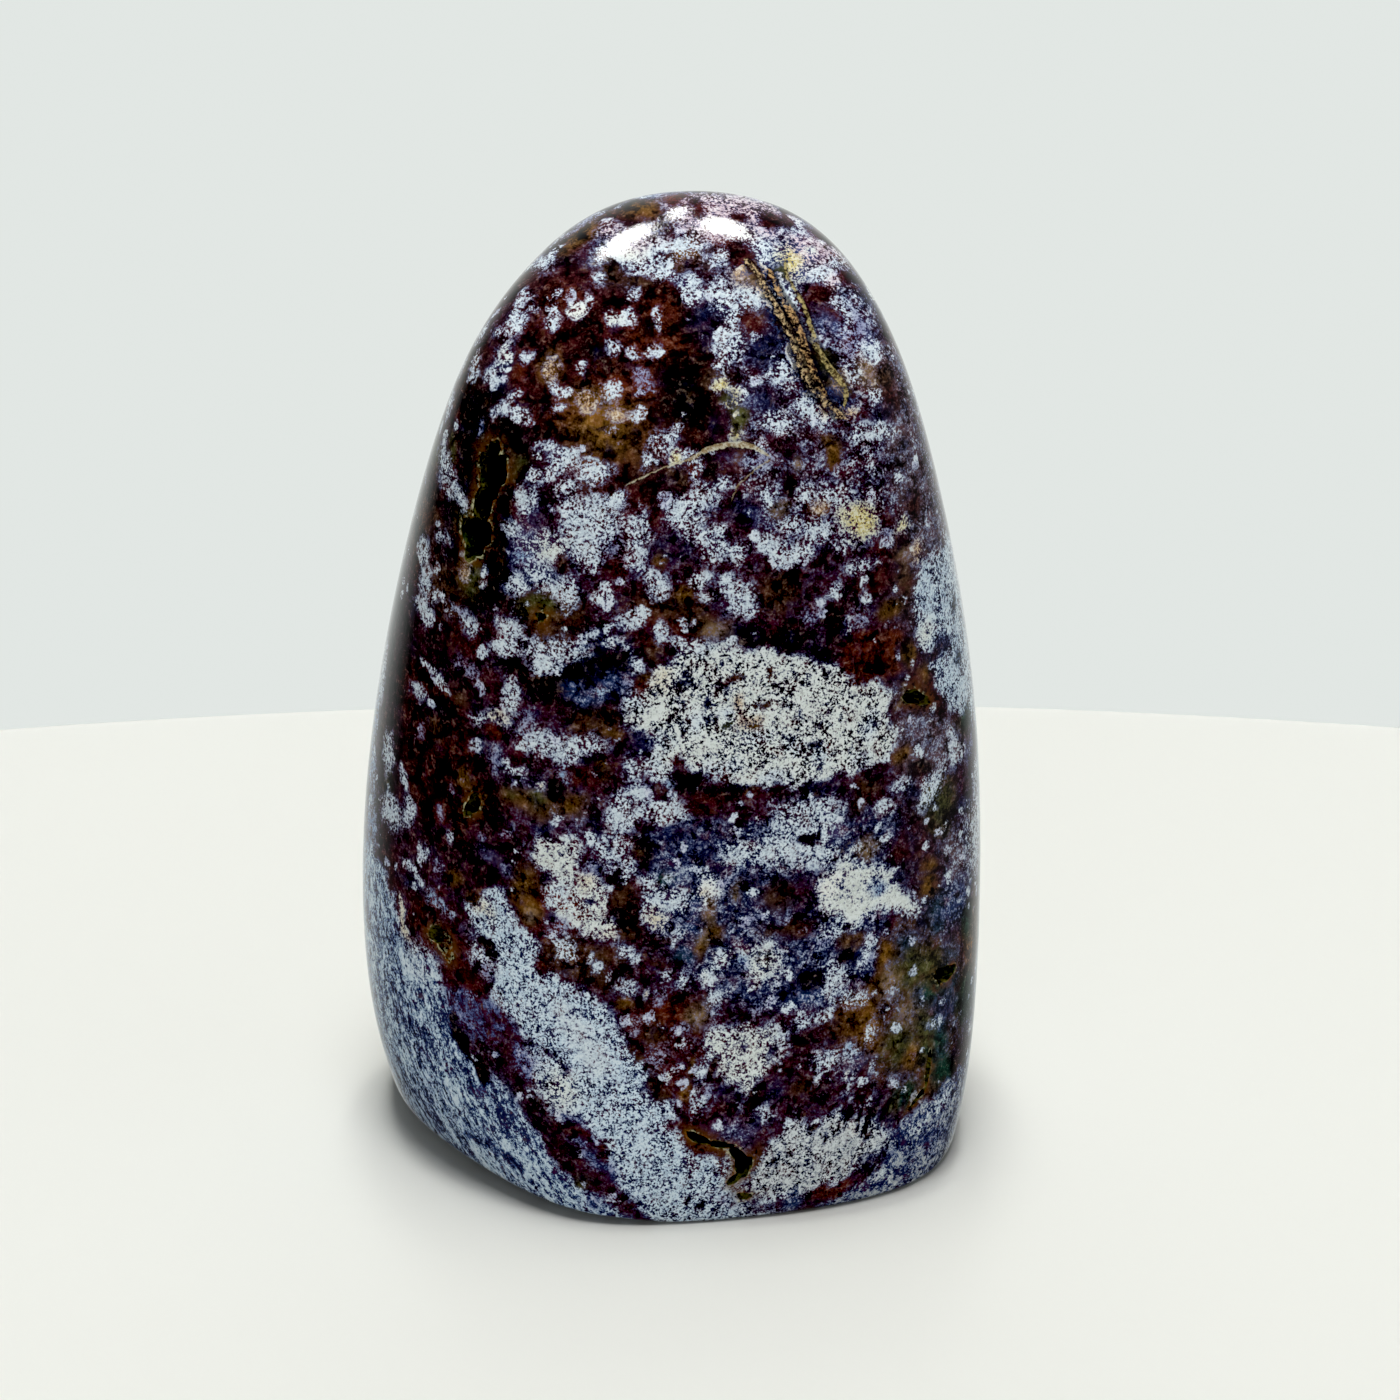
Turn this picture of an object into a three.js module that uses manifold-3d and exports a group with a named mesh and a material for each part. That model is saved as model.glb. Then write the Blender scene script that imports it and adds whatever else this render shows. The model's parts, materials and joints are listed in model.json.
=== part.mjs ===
// A freeform of ocean jasper: one stone, ground into soft faces, polished all over and cut flat below.
// Millimetres, +Z up, front towards -Y. The origin is the middle of the foot's underside.
import * as THREE from 'three';
import { mergeVertices } from 'three/addons/utils/BufferGeometryUtils.js';
import Module from 'manifold-3d';

const { degToRad } = THREE.MathUtils;

// The point inside the stone that every ground face is measured from
const heart = new THREE.Vector3(1.7, 1.05, 54);

// How crisply the ground faces meet: a higher power gives a sharper edge
const faceCrispness = 14;

// Faces ground round the outline, each [angle, distance from the heart].
// 0 degrees is the right-hand side, 90 the crown and 180 the left-hand side.
const outlineLean = 20; // the outline's plane leans back at the top by this many degrees
const outlineFaces = [
  [-45, 74.5], [-30, 63], [-15, 50], [0, 36.8], [15, 36.5], [30, 46.4], [45, 56], [60, 64], [75, 72.8],
  [90, 76.3], [105, 71.6], [120, 62], [135, 53.2], [150, 44.3], [165, 37.9], [180, 41.5], [195, 51.6],
  [210, 63], [225, 77],
];

// The other ground faces: turn is measured from the front towards the right, tilt upwards
const broadFaces = {
  front: { turn: 4, tilt: 4, reach: 28.6 },
  frontLeftEdge: { turn: -28, tilt: 4, reach: 32.5 },
  frontLeft: { turn: -56, tilt: 4, reach: 36 },
  frontRightEdge: { turn: 27, tilt: 4, reach: 32 },
  frontRight: { turn: 52, tilt: 4, reach: 36.4 },
  back: { turn: 180, tilt: 5, reach: 26.2 },
  backLeftEdge: { turn: -156, tilt: 5, reach: 30.5 },
  backLeft: { turn: -134, tilt: 6, reach: 34.5 },
  backRightEdge: { turn: 156, tilt: 5, reach: 30.5 },
  backRight: { turn: 132, tilt: 5, reach: 34.5 },
  frontBrow: { turn: 2, tilt: 24, reach: 38 },
  frontShoulder: { turn: 2, tilt: 44, reach: 50.5 },
  frontCrown: { turn: 0, tilt: 64, reach: 66 },
  backBrow: { turn: 178, tilt: 24, reach: 35.5 },
  backShoulder: { turn: 178, tilt: 44, reach: 50.5 },
  backCrown: { turn: 180, tilt: 64, reach: 66.5 },
  frontFoot: { turn: 14, tilt: -28, reach: 53 },
  frontLeftFoot: { turn: -50, tilt: -28, reach: 52.5 },
  frontRightFoot: { turn: 48, tilt: -28, reach: 60.5 },
  backFoot: { turn: 180, tilt: -30, reach: 51 },
};

// Flat cuts under the foot: the one that the stone rests on, and one that lifts its left front edge a little
const footCuts = [
  { turn: 0, tilt: -90, reach: 54 },
  { turn: -57, tilt: -83.5, reach: 55.5 },
];

// The block that the saw takes away at each cut
const cutWidth = 160;
const cutDepth = 60;

// Fineness of the facets, and how the directions are spread so that facets stay even on a tall stone
const stoneDetail = 16;
const directionSpread = new THREE.Vector3(36, 28, 62);

// Natural pits left open in the polish. x and z are where a pit opens, width and height its mouth,
// turn leans its top to the right, in degrees. A large pit is several hollows that run into each other.
const frontPits = [
  { x: -19.6, z: 92.6, width: 1.8, height: 3.2, turn: 6, depth: 3, detail: 3 },
  { x: -19.8, z: 90.2, width: 3.6, height: 6, turn: 2, depth: 4.6, detail: 4 },
  { x: -20.9, z: 86.6, width: 2.6, height: 5, turn: 10, depth: 3.6, detail: 3 },
  { x: -21.8, z: 82.9, width: 4.3, height: 4.6, turn: 15, depth: 3.8, detail: 3 },
  { x: -22.4, z: 80.9, width: 1.8, height: 2.6, turn: 20, depth: 2.2, detail: 2 },
  { x: -22.7, z: 51, width: 1.7, height: 3.7, turn: 34, depth: 1.9, detail: 3 },
  { x: -27.5, z: 33.6, width: 2.8, height: 2.3, turn: -15, depth: 2, detail: 2 },
  { x: -26.4, z: 32.5, width: 2.2, height: 3.4, turn: -35, depth: 2.1, detail: 3 },
  { x: 3.5, z: 11.9, width: 1.1, height: 3.6, turn: -62, depth: 1.6, detail: 3 },
  { x: 6.2, z: 10.9, width: 0.9, height: 3, turn: -80, depth: 1.4, detail: 2 },
  { x: 8.2, z: 9.4, width: 1.4, height: 3, turn: -45, depth: 1.7, detail: 2 },
  { x: 8.8, z: 7.8, width: 2.1, height: 2.9, turn: 10, depth: 2.4, detail: 3 },
  { x: 7.8, z: 6.2, width: 1.1, height: 2.4, turn: 50, depth: 1.3, detail: 2 },
  { x: 8.9, z: 3.6, width: 1.8, height: 1.1, turn: 8, depth: 1, detail: 2 },
  { x: -14.3, z: 74.8, width: 1.5, height: 1.2, turn: 0, depth: 1, detail: 2 },
  { x: 28.7, z: 63, width: 1.7, height: 4.4, turn: -68, depth: 1.6, detail: 3 },
  { x: 32.9, z: 27.9, width: 4, height: 2.1, turn: 0, depth: 1.8, detail: 3 },
  { x: 31, z: 16.6, width: 0.8, height: 5, turn: 8, depth: 1, detail: 2 },
  { x: 29.8, z: 13.2, width: 0.7, height: 3.4, turn: 50, depth: 0.9, detail: 2 },
];
const backPits = [
  { x: 11, z: 66, width: 3.2, height: 6.2, turn: -24, depth: 3, detail: 3 },
  { x: 14.2, z: 60.8, width: 2.2, height: 3.4, turn: 30, depth: 2, detail: 2 },
  { x: -16.5, z: 37, width: 2.6, height: 2.2, turn: 15, depth: 1.9, detail: 2 },
  { x: -4, z: 92, width: 1.6, height: 2.6, turn: 40, depth: 1.3, detail: 2 },
  { x: 22, z: 18, width: 1.8, height: 1.5, turn: 0, depth: 1.2, detail: 2 },
];

// How ragged a pit's wall is: the lobes round its mouth, and how far they stand out as a share of its size
const coarseRaggedness = { lobes: 3, share: 0.16 };
const fineRaggedness = { lobes: 7, share: 0.08 };

// Where a pit is seated: how far from the heart the surface is looked for, in how many halvings,
// and the short step across the surface that gives its slope
const seatSearch = 60;
const seatHalvings = 40;
const slopeStep = 0.5;

// Corners of a geometry closer together than this are one corner
const weldDistance = 1e-5;

// Polished jasper, taken all over
const jasper = new THREE.MeshStandardMaterial({ color: 0x5a5362, roughness: 0.12, metalness: 0 });

// Unit vector that points out of a ground face
function facing(turn, tilt) {
  const a = degToRad(turn);
  const t = degToRad(tilt);
  return new THREE.Vector3(Math.sin(a) * Math.cos(t), -Math.cos(a) * Math.cos(t), Math.sin(t));
}

// The same for a face of the outline, whose plane leans back
function outlineFacing(angle) {
  const a = degToRad(angle);
  const lean = degToRad(outlineLean);
  return new THREE.Vector3(Math.cos(a), Math.sin(lean) * Math.sin(a), Math.cos(lean) * Math.sin(a));
}

const groundFaces = [
  ...outlineFaces.map(([angle, reach]) => ({ normal: outlineFacing(angle), reach })),
  ...Object.values(broadFaces).map(({ turn, tilt, reach }) => ({ normal: facing(turn, tilt), reach })),
];

// Distance from the heart to the polished surface in a direction
function polishReach(direction) {
  let sum = 0;
  for (const { normal, reach } of groundFaces) {
    sum += Math.max(0, direction.dot(normal) / reach) ** faceCrispness;
  }
  return sum ** (-1 / faceCrispness);
}

// Moves every vertex of a geometry by a rule that changes the point in place
function reshape(geometry, rule) {
  const place = geometry.attributes.position;
  const point = new THREE.Vector3();
  for (let i = 0; i < place.count; i += 1) {
    point.fromBufferAttribute(place, i);
    rule(point);
    place.setXYZ(i, point.x, point.y, point.z);
  }
  return geometry;
}

function stoneBody() {
  return reshape(new THREE.IcosahedronGeometry(1, stoneDetail), (point) => {
    point.multiply(directionSpread).normalize();
    point.multiplyScalar(polishReach(point)).add(heart);
  });
}

// The point of the polished surface over x and z, on the front (side -1) or the back (side 1)
function seat(x, z, side) {
  let inner = heart.y;
  let outer = heart.y + side * seatSearch;
  const offset = new THREE.Vector3();
  for (let halving = 0; halving < seatHalvings; halving += 1) {
    const middle = (inner + outer) / 2;
    offset.set(x, middle, z).sub(heart);
    const distance = offset.length();
    if (distance < polishReach(offset.normalize())) {
      inner = middle;
    } else {
      outer = middle;
    }
  }
  return new THREE.Vector3(x, inner, z);
}

// The surface's outward normal at a seat, from two short steps across it
function outwardAt(point, side) {
  const right = seat(point.x + slopeStep, point.z, side).sub(point);
  const up = seat(point.x, point.z + slopeStep, side).sub(point);
  const outward = right.cross(up).normalize();
  return outward.y * side > 0 ? outward : outward.negate();
}

// One hollow: a ragged egg, half sunk in the surface, that is cut away
function pitHollow({ x, z, width, height, turn, depth, detail }, side) {
  const mouth = seat(x, z, side);
  const outward = outwardAt(mouth, side);
  const up = new THREE.Vector3(0, 0, 1).addScaledVector(outward, -outward.z).normalize();
  const right = new THREE.Vector3().crossVectors(up, outward);
  up.applyAxisAngle(outward, degToRad(-turn));
  right.applyAxisAngle(outward, degToRad(-turn));
  const seed = x + 2 * z;
  return reshape(new THREE.IcosahedronGeometry(1, detail), (point) => {
    const round = Math.atan2(point.z, point.x);
    const coarse = Math.sin(coarseRaggedness.lobes * round + seed) * Math.cos(2 * point.y + seed);
    const fine = Math.sin(fineRaggedness.lobes * round - 2 * seed) * Math.cos(5 * point.y - seed);
    const swell = 1 + coarseRaggedness.share * coarse + fineRaggedness.share * fine;
    const across = point.x * swell * (width / 2);
    const along = point.z * swell * (height / 2);
    const inwards = point.y * swell * depth;
    point.copy(mouth).addScaledVector(right, across).addScaledVector(up, along);
    point.addScaledVector(outward, -inwards);
  });
}

// Solids for cutting and joining
const wasm = await Module();
wasm.setup();

function solid(geometry) {
  geometry.deleteAttribute('normal');
  geometry.deleteAttribute('uv');
  const merged = mergeVertices(geometry, weldDistance);
  const vertProperties = new Float32Array(merged.attributes.position.array);
  const triVerts = new Uint32Array(merged.index.array);
  return new wasm.Manifold(new wasm.Mesh({ numProp: 3, vertProperties, triVerts }));
}

function geometryOf(manifold) {
  const { vertProperties, triVerts } = manifold.getMesh();
  const geometry = new THREE.BufferGeometry();
  geometry.setAttribute('position', new THREE.BufferAttribute(vertProperties, 3));
  geometry.setIndex(new THREE.BufferAttribute(triVerts, 1));
  geometry.computeVertexNormals();
  return geometry;
}

// The block below a flat cut: its near face is the cut
function sawBlock({ turn, tilt, reach }) {
  const block = new THREE.BoxGeometry(cutWidth, cutWidth, cutDepth);
  block.translate(0, 0, reach + cutDepth / 2);
  const up = new THREE.Vector3(0, 0, 1);
  block.applyQuaternion(new THREE.Quaternion().setFromUnitVectors(up, facing(turn, tilt)));
  block.translate(heart.x, heart.y, heart.z);
  return solid(block);
}

function stone() {
  let shape = solid(stoneBody());
  for (const cut of footCuts) {
    shape = shape.subtract(sawBlock(cut));
  }
  for (const pit of frontPits) {
    shape = shape.subtract(solid(pitHollow(pit, -1)));
  }
  for (const pit of backPits) {
    shape = shape.subtract(solid(pitHollow(pit, 1)));
  }
  const geometry = geometryOf(shape);
  geometry.computeBoundingBox();
  const middle = geometry.boundingBox.getCenter(new THREE.Vector3());
  geometry.translate(-middle.x, -middle.y, 0);
  const mesh = new THREE.Mesh(geometry, jasper);
  mesh.name = 'stone';
  return mesh;
}

const group = new THREE.Group();
group.add(stone());

export default group;
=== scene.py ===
import json
import math
import random

import bmesh
import bpy
import numpy as np
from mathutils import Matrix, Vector, noise

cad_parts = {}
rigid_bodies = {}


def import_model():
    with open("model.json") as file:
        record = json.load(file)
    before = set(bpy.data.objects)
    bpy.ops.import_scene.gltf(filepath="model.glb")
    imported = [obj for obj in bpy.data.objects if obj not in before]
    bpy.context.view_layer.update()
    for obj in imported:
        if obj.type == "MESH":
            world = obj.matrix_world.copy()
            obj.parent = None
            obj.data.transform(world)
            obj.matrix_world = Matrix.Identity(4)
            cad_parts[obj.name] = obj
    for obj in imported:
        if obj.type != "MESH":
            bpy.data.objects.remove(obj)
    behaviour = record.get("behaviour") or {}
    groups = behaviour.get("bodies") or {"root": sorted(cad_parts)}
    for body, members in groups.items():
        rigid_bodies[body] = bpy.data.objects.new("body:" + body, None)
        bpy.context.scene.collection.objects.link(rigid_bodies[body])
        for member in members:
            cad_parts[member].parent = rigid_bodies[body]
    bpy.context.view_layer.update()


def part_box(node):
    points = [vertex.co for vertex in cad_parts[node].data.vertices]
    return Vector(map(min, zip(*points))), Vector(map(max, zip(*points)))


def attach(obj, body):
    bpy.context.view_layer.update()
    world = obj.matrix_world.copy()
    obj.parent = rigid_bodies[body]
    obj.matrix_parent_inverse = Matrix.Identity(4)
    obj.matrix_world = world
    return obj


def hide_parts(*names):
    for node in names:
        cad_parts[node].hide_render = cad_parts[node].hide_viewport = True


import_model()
metre = 0.001  # the stone is worked out in millimetres, and Blender is in metres

print("frame loaded")

# Helpers

def srgbToLinear(colour):
    return tuple((c / 255 / 12.92) if c <= 10 else ((c / 255 + 0.055) / 1.055) ** 2.4 for c in colour)


def smoothStep(low, high, value):
    t = np.clip((value - low) / (high - low), 0, 1)
    return t * t * (3 - 2 * t)


# one socket of a shader, with the operators that the finishes use
class Wire:
    def __init__(self, tree, socket):
        self.tree = tree
        self.socket = socket

    def mathNode(self, operation, first, second=None, third=None):
        values = [v for v in (first, second, third) if v is not None]
        return addNode(self.tree, "ShaderNodeMath", {"operation": operation}, dict(enumerate(values)))

    def __add__(self, other): return self.mathNode("ADD", self, other)
    def __radd__(self, other): return self.mathNode("ADD", other, self)
    def __sub__(self, other): return self.mathNode("SUBTRACT", self, other)
    def __rsub__(self, other): return self.mathNode("SUBTRACT", other, self)
    def __mul__(self, other): return self.mathNode("MULTIPLY", self, other)
    def __rmul__(self, other): return self.mathNode("MULTIPLY", other, self)
    def __truediv__(self, other): return self.mathNode("DIVIDE", self, other)
    def __pow__(self, other): return self.mathNode("POWER", self, other)
    def __abs__(self): return self.mathNode("ABSOLUTE", self)
    def most(self, other): return self.mathNode("MAXIMUM", self, other)
    def least(self, other): return self.mathNode("MINIMUM", self, other)

    # 0 below low, 1 above high, smooth between
    def fade(self, low, high):
        settings = {"interpolation_type": "SMOOTHSTEP"}
        return addNode(self.tree, "ShaderNodeMapRange", settings, {"Value": self, "From Min": low, "From Max": high})


# any node: its settings first, then the values or links of its sockets; returns its first output, or the one named
def addNode(tree, kind, settings=None, sockets=None, output=0):
    node = tree.nodes.new(kind)
    for name, value in (settings or {}).items():
        if name == "stops":
            fillRamp(node.color_ramp, value)
        else:
            setattr(node, name, value)
    for name, value in (sockets or {}).items():
        if isinstance(value, Wire):
            tree.links.new(value.socket, node.inputs[name])
        else:
            node.inputs[name].default_value = value
    return Wire(tree, node.outputs[output])


def fillRamp(ramp, stops):
    while len(ramp.elements) < len(stops):
        ramp.elements.new(0.5)
    for element, (place, colour) in zip(ramp.elements, stops):
        element.position = place
        element.color = (*srgbToLinear(colour), 1)


def mixColours(tree, factor, first, second, blend="MIX"):
    settings = {"data_type": "RGBA", "blend_type": blend, "clamp_factor": True}
    sides = [(*srgbToLinear(c), 1) if isinstance(c, tuple) else c for c in (first, second)]
    return addNode(tree, "ShaderNodeMix", settings, {0: factor, 6: sides[0], 7: sides[1]}, 2)


# The stone's shape

stoneShape = {
    "heart": (1.7, 1.05, 54.0),      # mm, the point that every ground face is measured from
    "faceCrispness": 14,             # how crisply the ground faces meet
    "footCrispness": 130,            # the same for the edge round the foot
    "outlineLean": 20,               # degrees that the outline's plane leans back
    "gridCells": 116,                # cells along each side of the six patches that cover the stone
    "directionSpread": (36, 28, 62),
    # angle round the outline, and distance from the heart
    "outlineFaces": [
        (-45, 74.5), (-30, 63), (-15, 50), (0, 36.8), (15, 36.5), (30, 46.4), (45, 56), (60, 64), (75, 72.8),
        (90, 76.3), (105, 71.6), (120, 62), (135, 53.2), (150, 44.3), (165, 37.9), (180, 41.5), (195, 51.6),
        (210, 63), (225, 77)],
    # turn from the front to the right, tilt upwards, distance from the heart
    "broadFaces": [
        (4, 4, 28.6), (-28, 4, 32.5), (-56, 4, 36), (27, 4, 32), (52, 4, 36.4),
        (180, 5, 26.2), (-156, 5, 30.5), (-134, 6, 34.5), (156, 5, 30.5), (132, 5, 34.5),
        (2, 24, 38), (2, 44, 50.5), (0, 64, 66), (178, 24, 35.5), (178, 44, 50.5), (180, 64, 66.5),
        (14, -28, 53), (-50, -28, 52.5), (48, -28, 60.5), (180, -30, 51)],
    # flat cuts under the foot: the one it rests on, and one that lifts the left front edge a little
    "footCuts": [(0, -90, 54), (-57, -83.5, 55.5)],
}


def facing(turn, tilt):
    a, t = math.radians(turn), math.radians(tilt)
    return math.sin(a) * math.cos(t), -math.cos(a) * math.cos(t), math.sin(t)


def groundFaces():
    normals, reaches = [], []
    lean = math.radians(stoneShape["outlineLean"])
    for angle, reach in stoneShape["outlineFaces"]:
        a = math.radians(angle)
        normals.append((math.cos(a), math.sin(lean) * math.sin(a), math.cos(lean) * math.sin(a)))
        reaches.append(reach)
    for turn, tilt, reach in stoneShape["broadFaces"]:
        normals.append(facing(turn, tilt))
        reaches.append(reach)
    return np.array(normals), np.array(reaches, float)


faceNormals, faceReaches = groundFaces()
heart = np.array(stoneShape["heart"])


# distance from the heart to the polished surface in each direction, without the foot
def polishReach(directions):
    power = stoneShape["faceCrispness"]
    lean = np.maximum(0, directions @ faceNormals.T / faceReaches)
    return (lean ** power).sum(1) ** (-1 / power)


# the same with the foot ground flat, and its edge eased
def stoneReach(directions):
    power = stoneShape["footCrispness"]
    polish = polishReach(directions)
    down = np.zeros(len(directions))
    for turn, tilt, reach in stoneShape["footCuts"]:
        down = np.maximum(down, directions @ facing(turn, tilt) / reach)
    return polish * (1 + (down * polish) ** power) ** (-1 / power)


def unit(vectors):
    return vectors / np.linalg.norm(vectors, axis=-1, keepdims=True)


# outward normals of the polished surface above some points
def polishNormals(points):
    step = 1e-4
    out = unit(points - heart)
    first = unit(np.cross(out, np.where(np.abs(out[:, 2:]) < 0.9, [0, 0, 1.0], [1.0, 0, 0])))
    second = np.cross(out, first)
    corners = []
    for shift in (0, step * first, step * second):
        turned = unit(out + shift)
        corners.append(turned * stoneReach(turned)[:, None])
    return unit(np.cross(corners[1] - corners[0], corners[2] - corners[0]))


# six square patches blown up to the stone
def stoneGrid():
    cells = stoneShape["gridCells"]
    ticks = np.tan(np.linspace(-1, 1, cells + 1) * math.pi / 4)
    across, up = np.meshgrid(ticks, ticks, indexing="ij")
    ones = np.ones_like(across)
    sides = [(ones, across, up), (-ones, up, across), (up, ones, across),
             (across, -ones, up), (across, up, ones), (up, across, -ones)]
    points = np.concatenate([np.stack(side, -1).reshape(-1, 3) for side in sides])
    row = cells + 1
    i, j = np.meshgrid(np.arange(cells), np.arange(cells), indexing="ij")
    corner = (i * row + j).ravel()
    quad = np.stack([corner, corner + row, corner + row + 1, corner + 1], 1)
    quads = np.concatenate([quad + k * row * row for k in range(6)])
    _, kept, place = np.unique(np.round(points, 6), axis=0, return_index=True, return_inverse=True)
    directions = unit(unit(points[kept]) * stoneShape["directionSpread"])
    return heart + directions * stoneReach(directions)[:, None], place.reshape(-1)[quads]


# Pits left open in the polish

# x and z of the mouth, its width and height, its turn, its depth, and how finely it is made
frontPits = [
    (-19.6, 92.6, 1.8, 3.2, 6, 3, 4), (-19.8, 90.2, 3.6, 6, 2, 4.6, 5), (-20.9, 86.6, 2.6, 5, 10, 3.6, 4),
    (-21.8, 82.9, 4.3, 4.6, 15, 3.8, 5), (-22.4, 80.9, 1.8, 2.6, 20, 2.2, 4),
    (-22.7, 51, 1.7, 3.7, 34, 1.9, 4), (-27.5, 33.6, 2.8, 2.3, -15, 2, 4), (-26.4, 32.5, 2.2, 3.4, -35, 2.1, 4),
    (3.5, 11.9, 1.1, 3.6, -62, 1.6, 4), (6.2, 10.9, 0.9, 3, -80, 1.4, 4), (8.2, 9.4, 1.4, 3, -45, 1.7, 4),
    (8.8, 7.8, 2.1, 2.9, 10, 2.4, 4), (7.8, 6.2, 1.1, 2.4, 50, 1.3, 4), (8.9, 3.6, 1.8, 1.1, 8, 1, 4),
    (-14.3, 74.8, 1.5, 1.2, 0, 1, 4), (28.7, 63, 1.7, 4.4, -68, 1.6, 4), (32.9, 27.9, 4, 2.1, 0, 1.8, 4),
    (31, 16.6, 0.8, 5, 8, 1, 4), (29.8, 13.2, 0.7, 3.4, 50, 0.9, 4),
]
backPits = [
    (11, 66, 3.2, 6.2, -24, 3, 4), (14.2, 60.8, 2.2, 3.4, 30, 2, 4), (-16.5, 37, 2.6, 2.2, 15, 1.9, 4),
    (-4, 92, 1.6, 2.6, 40, 1.3, 4), (22, 18, 1.8, 1.5, 0, 1.2, 4),
]
pitWall = {
    "coarseLobes": 3, "coarseShare": 0.16,
    "fineLobes": 7, "fineShare": 0.08,
    "cragSize": 0.9,     # mm, crags on the walls
    "cragDepth": 0.16,   # mm
}


# y of the polished surface over x and z, on the front (side -1) or the back (side 1)
def seatY(x, z, side):
    inner, outer = heart[1], heart[1] + side * 60
    for _ in range(40):
        middle = (inner + outer) / 2
        offset = np.array([[x, middle, z]]) - heart
        distance = np.linalg.norm(offset)
        if distance < polishReach(offset / distance)[0]:
            inner = middle
        else:
            outer = middle
    return inner


# a place on the stone: the point, and right, up and outward there, turned by some degrees
def seatFrame(x, z, turn, side):
    point = np.array([x, seatY(x, z, side), z])
    step = 0.5
    right = np.array([x + step, seatY(x + step, z, side), z]) - point
    up = np.array([x, seatY(x, z + step, side), z + step]) - point
    outward = unit(np.cross(right, up))
    outward = outward if outward[1] * side > 0 else -outward
    up = unit(np.array([0, 0, 1.0]) - outward * outward[2])
    right = np.cross(up, outward)
    a = math.radians(-turn)
    turned = [v * math.cos(a) + np.cross(outward, v) * math.sin(a) for v in (right, up)]
    return point, turned[0], turned[1], outward


def pitSwell(around, inward, seed):
    coarse = np.sin(pitWall["coarseLobes"] * around + seed) * np.cos(2 * inward + seed)
    fine = np.sin(pitWall["fineLobes"] * around - 2 * seed) * np.cos(5 * inward - seed)
    return 1 + pitWall["coarseShare"] * coarse + pitWall["fineShare"] * fine


def makePit(pit, side, number):
    x, z, width, height, turn, depth, fineness = pit
    point, right, up, outward = seatFrame(x, z, turn, side)
    blank = bmesh.new()
    bmesh.ops.create_icosphere(blank, subdivisions=fineness, radius=1)
    ball = np.array([v.co for v in blank.verts])
    swell = pitSwell(np.arctan2(ball[:, 2], ball[:, 0]), ball[:, 1], x + 2 * z)
    shaped = ball * swell[:, None] * [width / 2, depth, height / 2]
    places = point + shaped[:, :1] * right + shaped[:, 2:] * up - shaped[:, 1:2] * outward
    for vertex, place, out in zip(blank.verts, places, unit(places - point)):
        crag = noise.noise(Vector(place) / pitWall["cragSize"]) * pitWall["cragDepth"]
        vertex.co = place + out * crag
    bmesh.ops.recalc_face_normals(blank, faces=blank.faces)
    mesh = bpy.data.meshes.new(f"pitCutter{number}")
    blank.to_mesh(mesh)
    blank.free()
    return bpy.data.objects.new(mesh.name, mesh)


def cutPits(stone):
    cutters = bpy.data.collections.new("pitCutters")
    bpy.context.scene.collection.children.link(cutters)
    sides = [(pit, -1) for pit in frontPits] + [(pit, 1) for pit in backPits]
    for number, (pit, side) in enumerate(sides):
        cutters.objects.link(makePit(pit, side, number))
    cut = stone.modifiers.new("pits", "BOOLEAN")
    cut.operation = "DIFFERENCE"
    cut.solver = "MANIFOLD"
    cut.operand_type = "COLLECTION"
    cut.collection = cutters
    solved = stone.evaluated_get(bpy.context.evaluated_depsgraph_get())
    mesh = bpy.data.meshes.new_from_object(solved)
    stone.modifiers.clear()
    stone.data = mesh
    for cutter in list(cutters.objects):
        bpy.data.objects.remove(cutter)
    bpy.data.collections.remove(cutters)
    shape = bmesh.new()
    shape.from_mesh(mesh)
    bmesh.ops.triangulate(shape, faces=[f for f in shape.faces if len(f.verts) > 4])
    shape.to_mesh(mesh)
    shape.free()


# The stone's markings

# colours of the ground, as they look in soft light
groundColours = {
    "black": (10, 9, 14), "maroon": (84, 30, 30), "burgundy": (62, 24, 44), "navy": (30, 34, 74),
    "blue": (46, 70, 124), "brown": (92, 62, 42), "rust": (110, 46, 24), "ochre": (150, 106, 42),
    "tan": (168, 138, 98), "olive": (96, 98, 54), "green": (30, 82, 66), "violet": (80, 66, 112),
    "mauve": (106, 82, 88), "teal": (32, 64, 82),
}
# colours of the pale bloom
bloomColours = {
    "ice": (202, 216, 227), "warm": (214, 221, 217), "lavender": (150, 154, 188), "cream": (216, 208, 184),
    "sky": (124, 158, 196), "grey": (186, 193, 197), "sand": (190, 156, 104), "straw": (200, 182, 84), "blush": (206, 186, 196), "white": (232, 234, 228), "frost": (192, 213, 229),
}
# how much bloom each colour of ground lets through, and how full each bloom is
groundCover = {"black": -0.15, "maroon": -0.04, "burgundy": 0.02, "navy": 0.04, "blue": 0.16, "brown": -0.05,
               "rust": -0.08, "ochre": -0.07, "tan": 0.1, "olive": -0.02, "green": -0.02, "violet": 0.16,
               "mauve": 0.16, "teal": 0.08}
bloomCover = {"ice": 0.49, "warm": 0.5, "lavender": 0.28, "cream": 0.48, "sky": 0.34, "grey": 0.42, "white": 0.8,
              "sand": 0.42, "straw": 0.62, "blush": 0.4, "frost": 0.49}

markingEdges = {
    "wobbleSize": 2.0, "wobbleReach": 0.85,   # mm
    "wobbleSeed": 5,
    "spotSoftness": 0.8, "areaSoftness": 0.55, "bandSoftness": 0.5,
}

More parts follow.
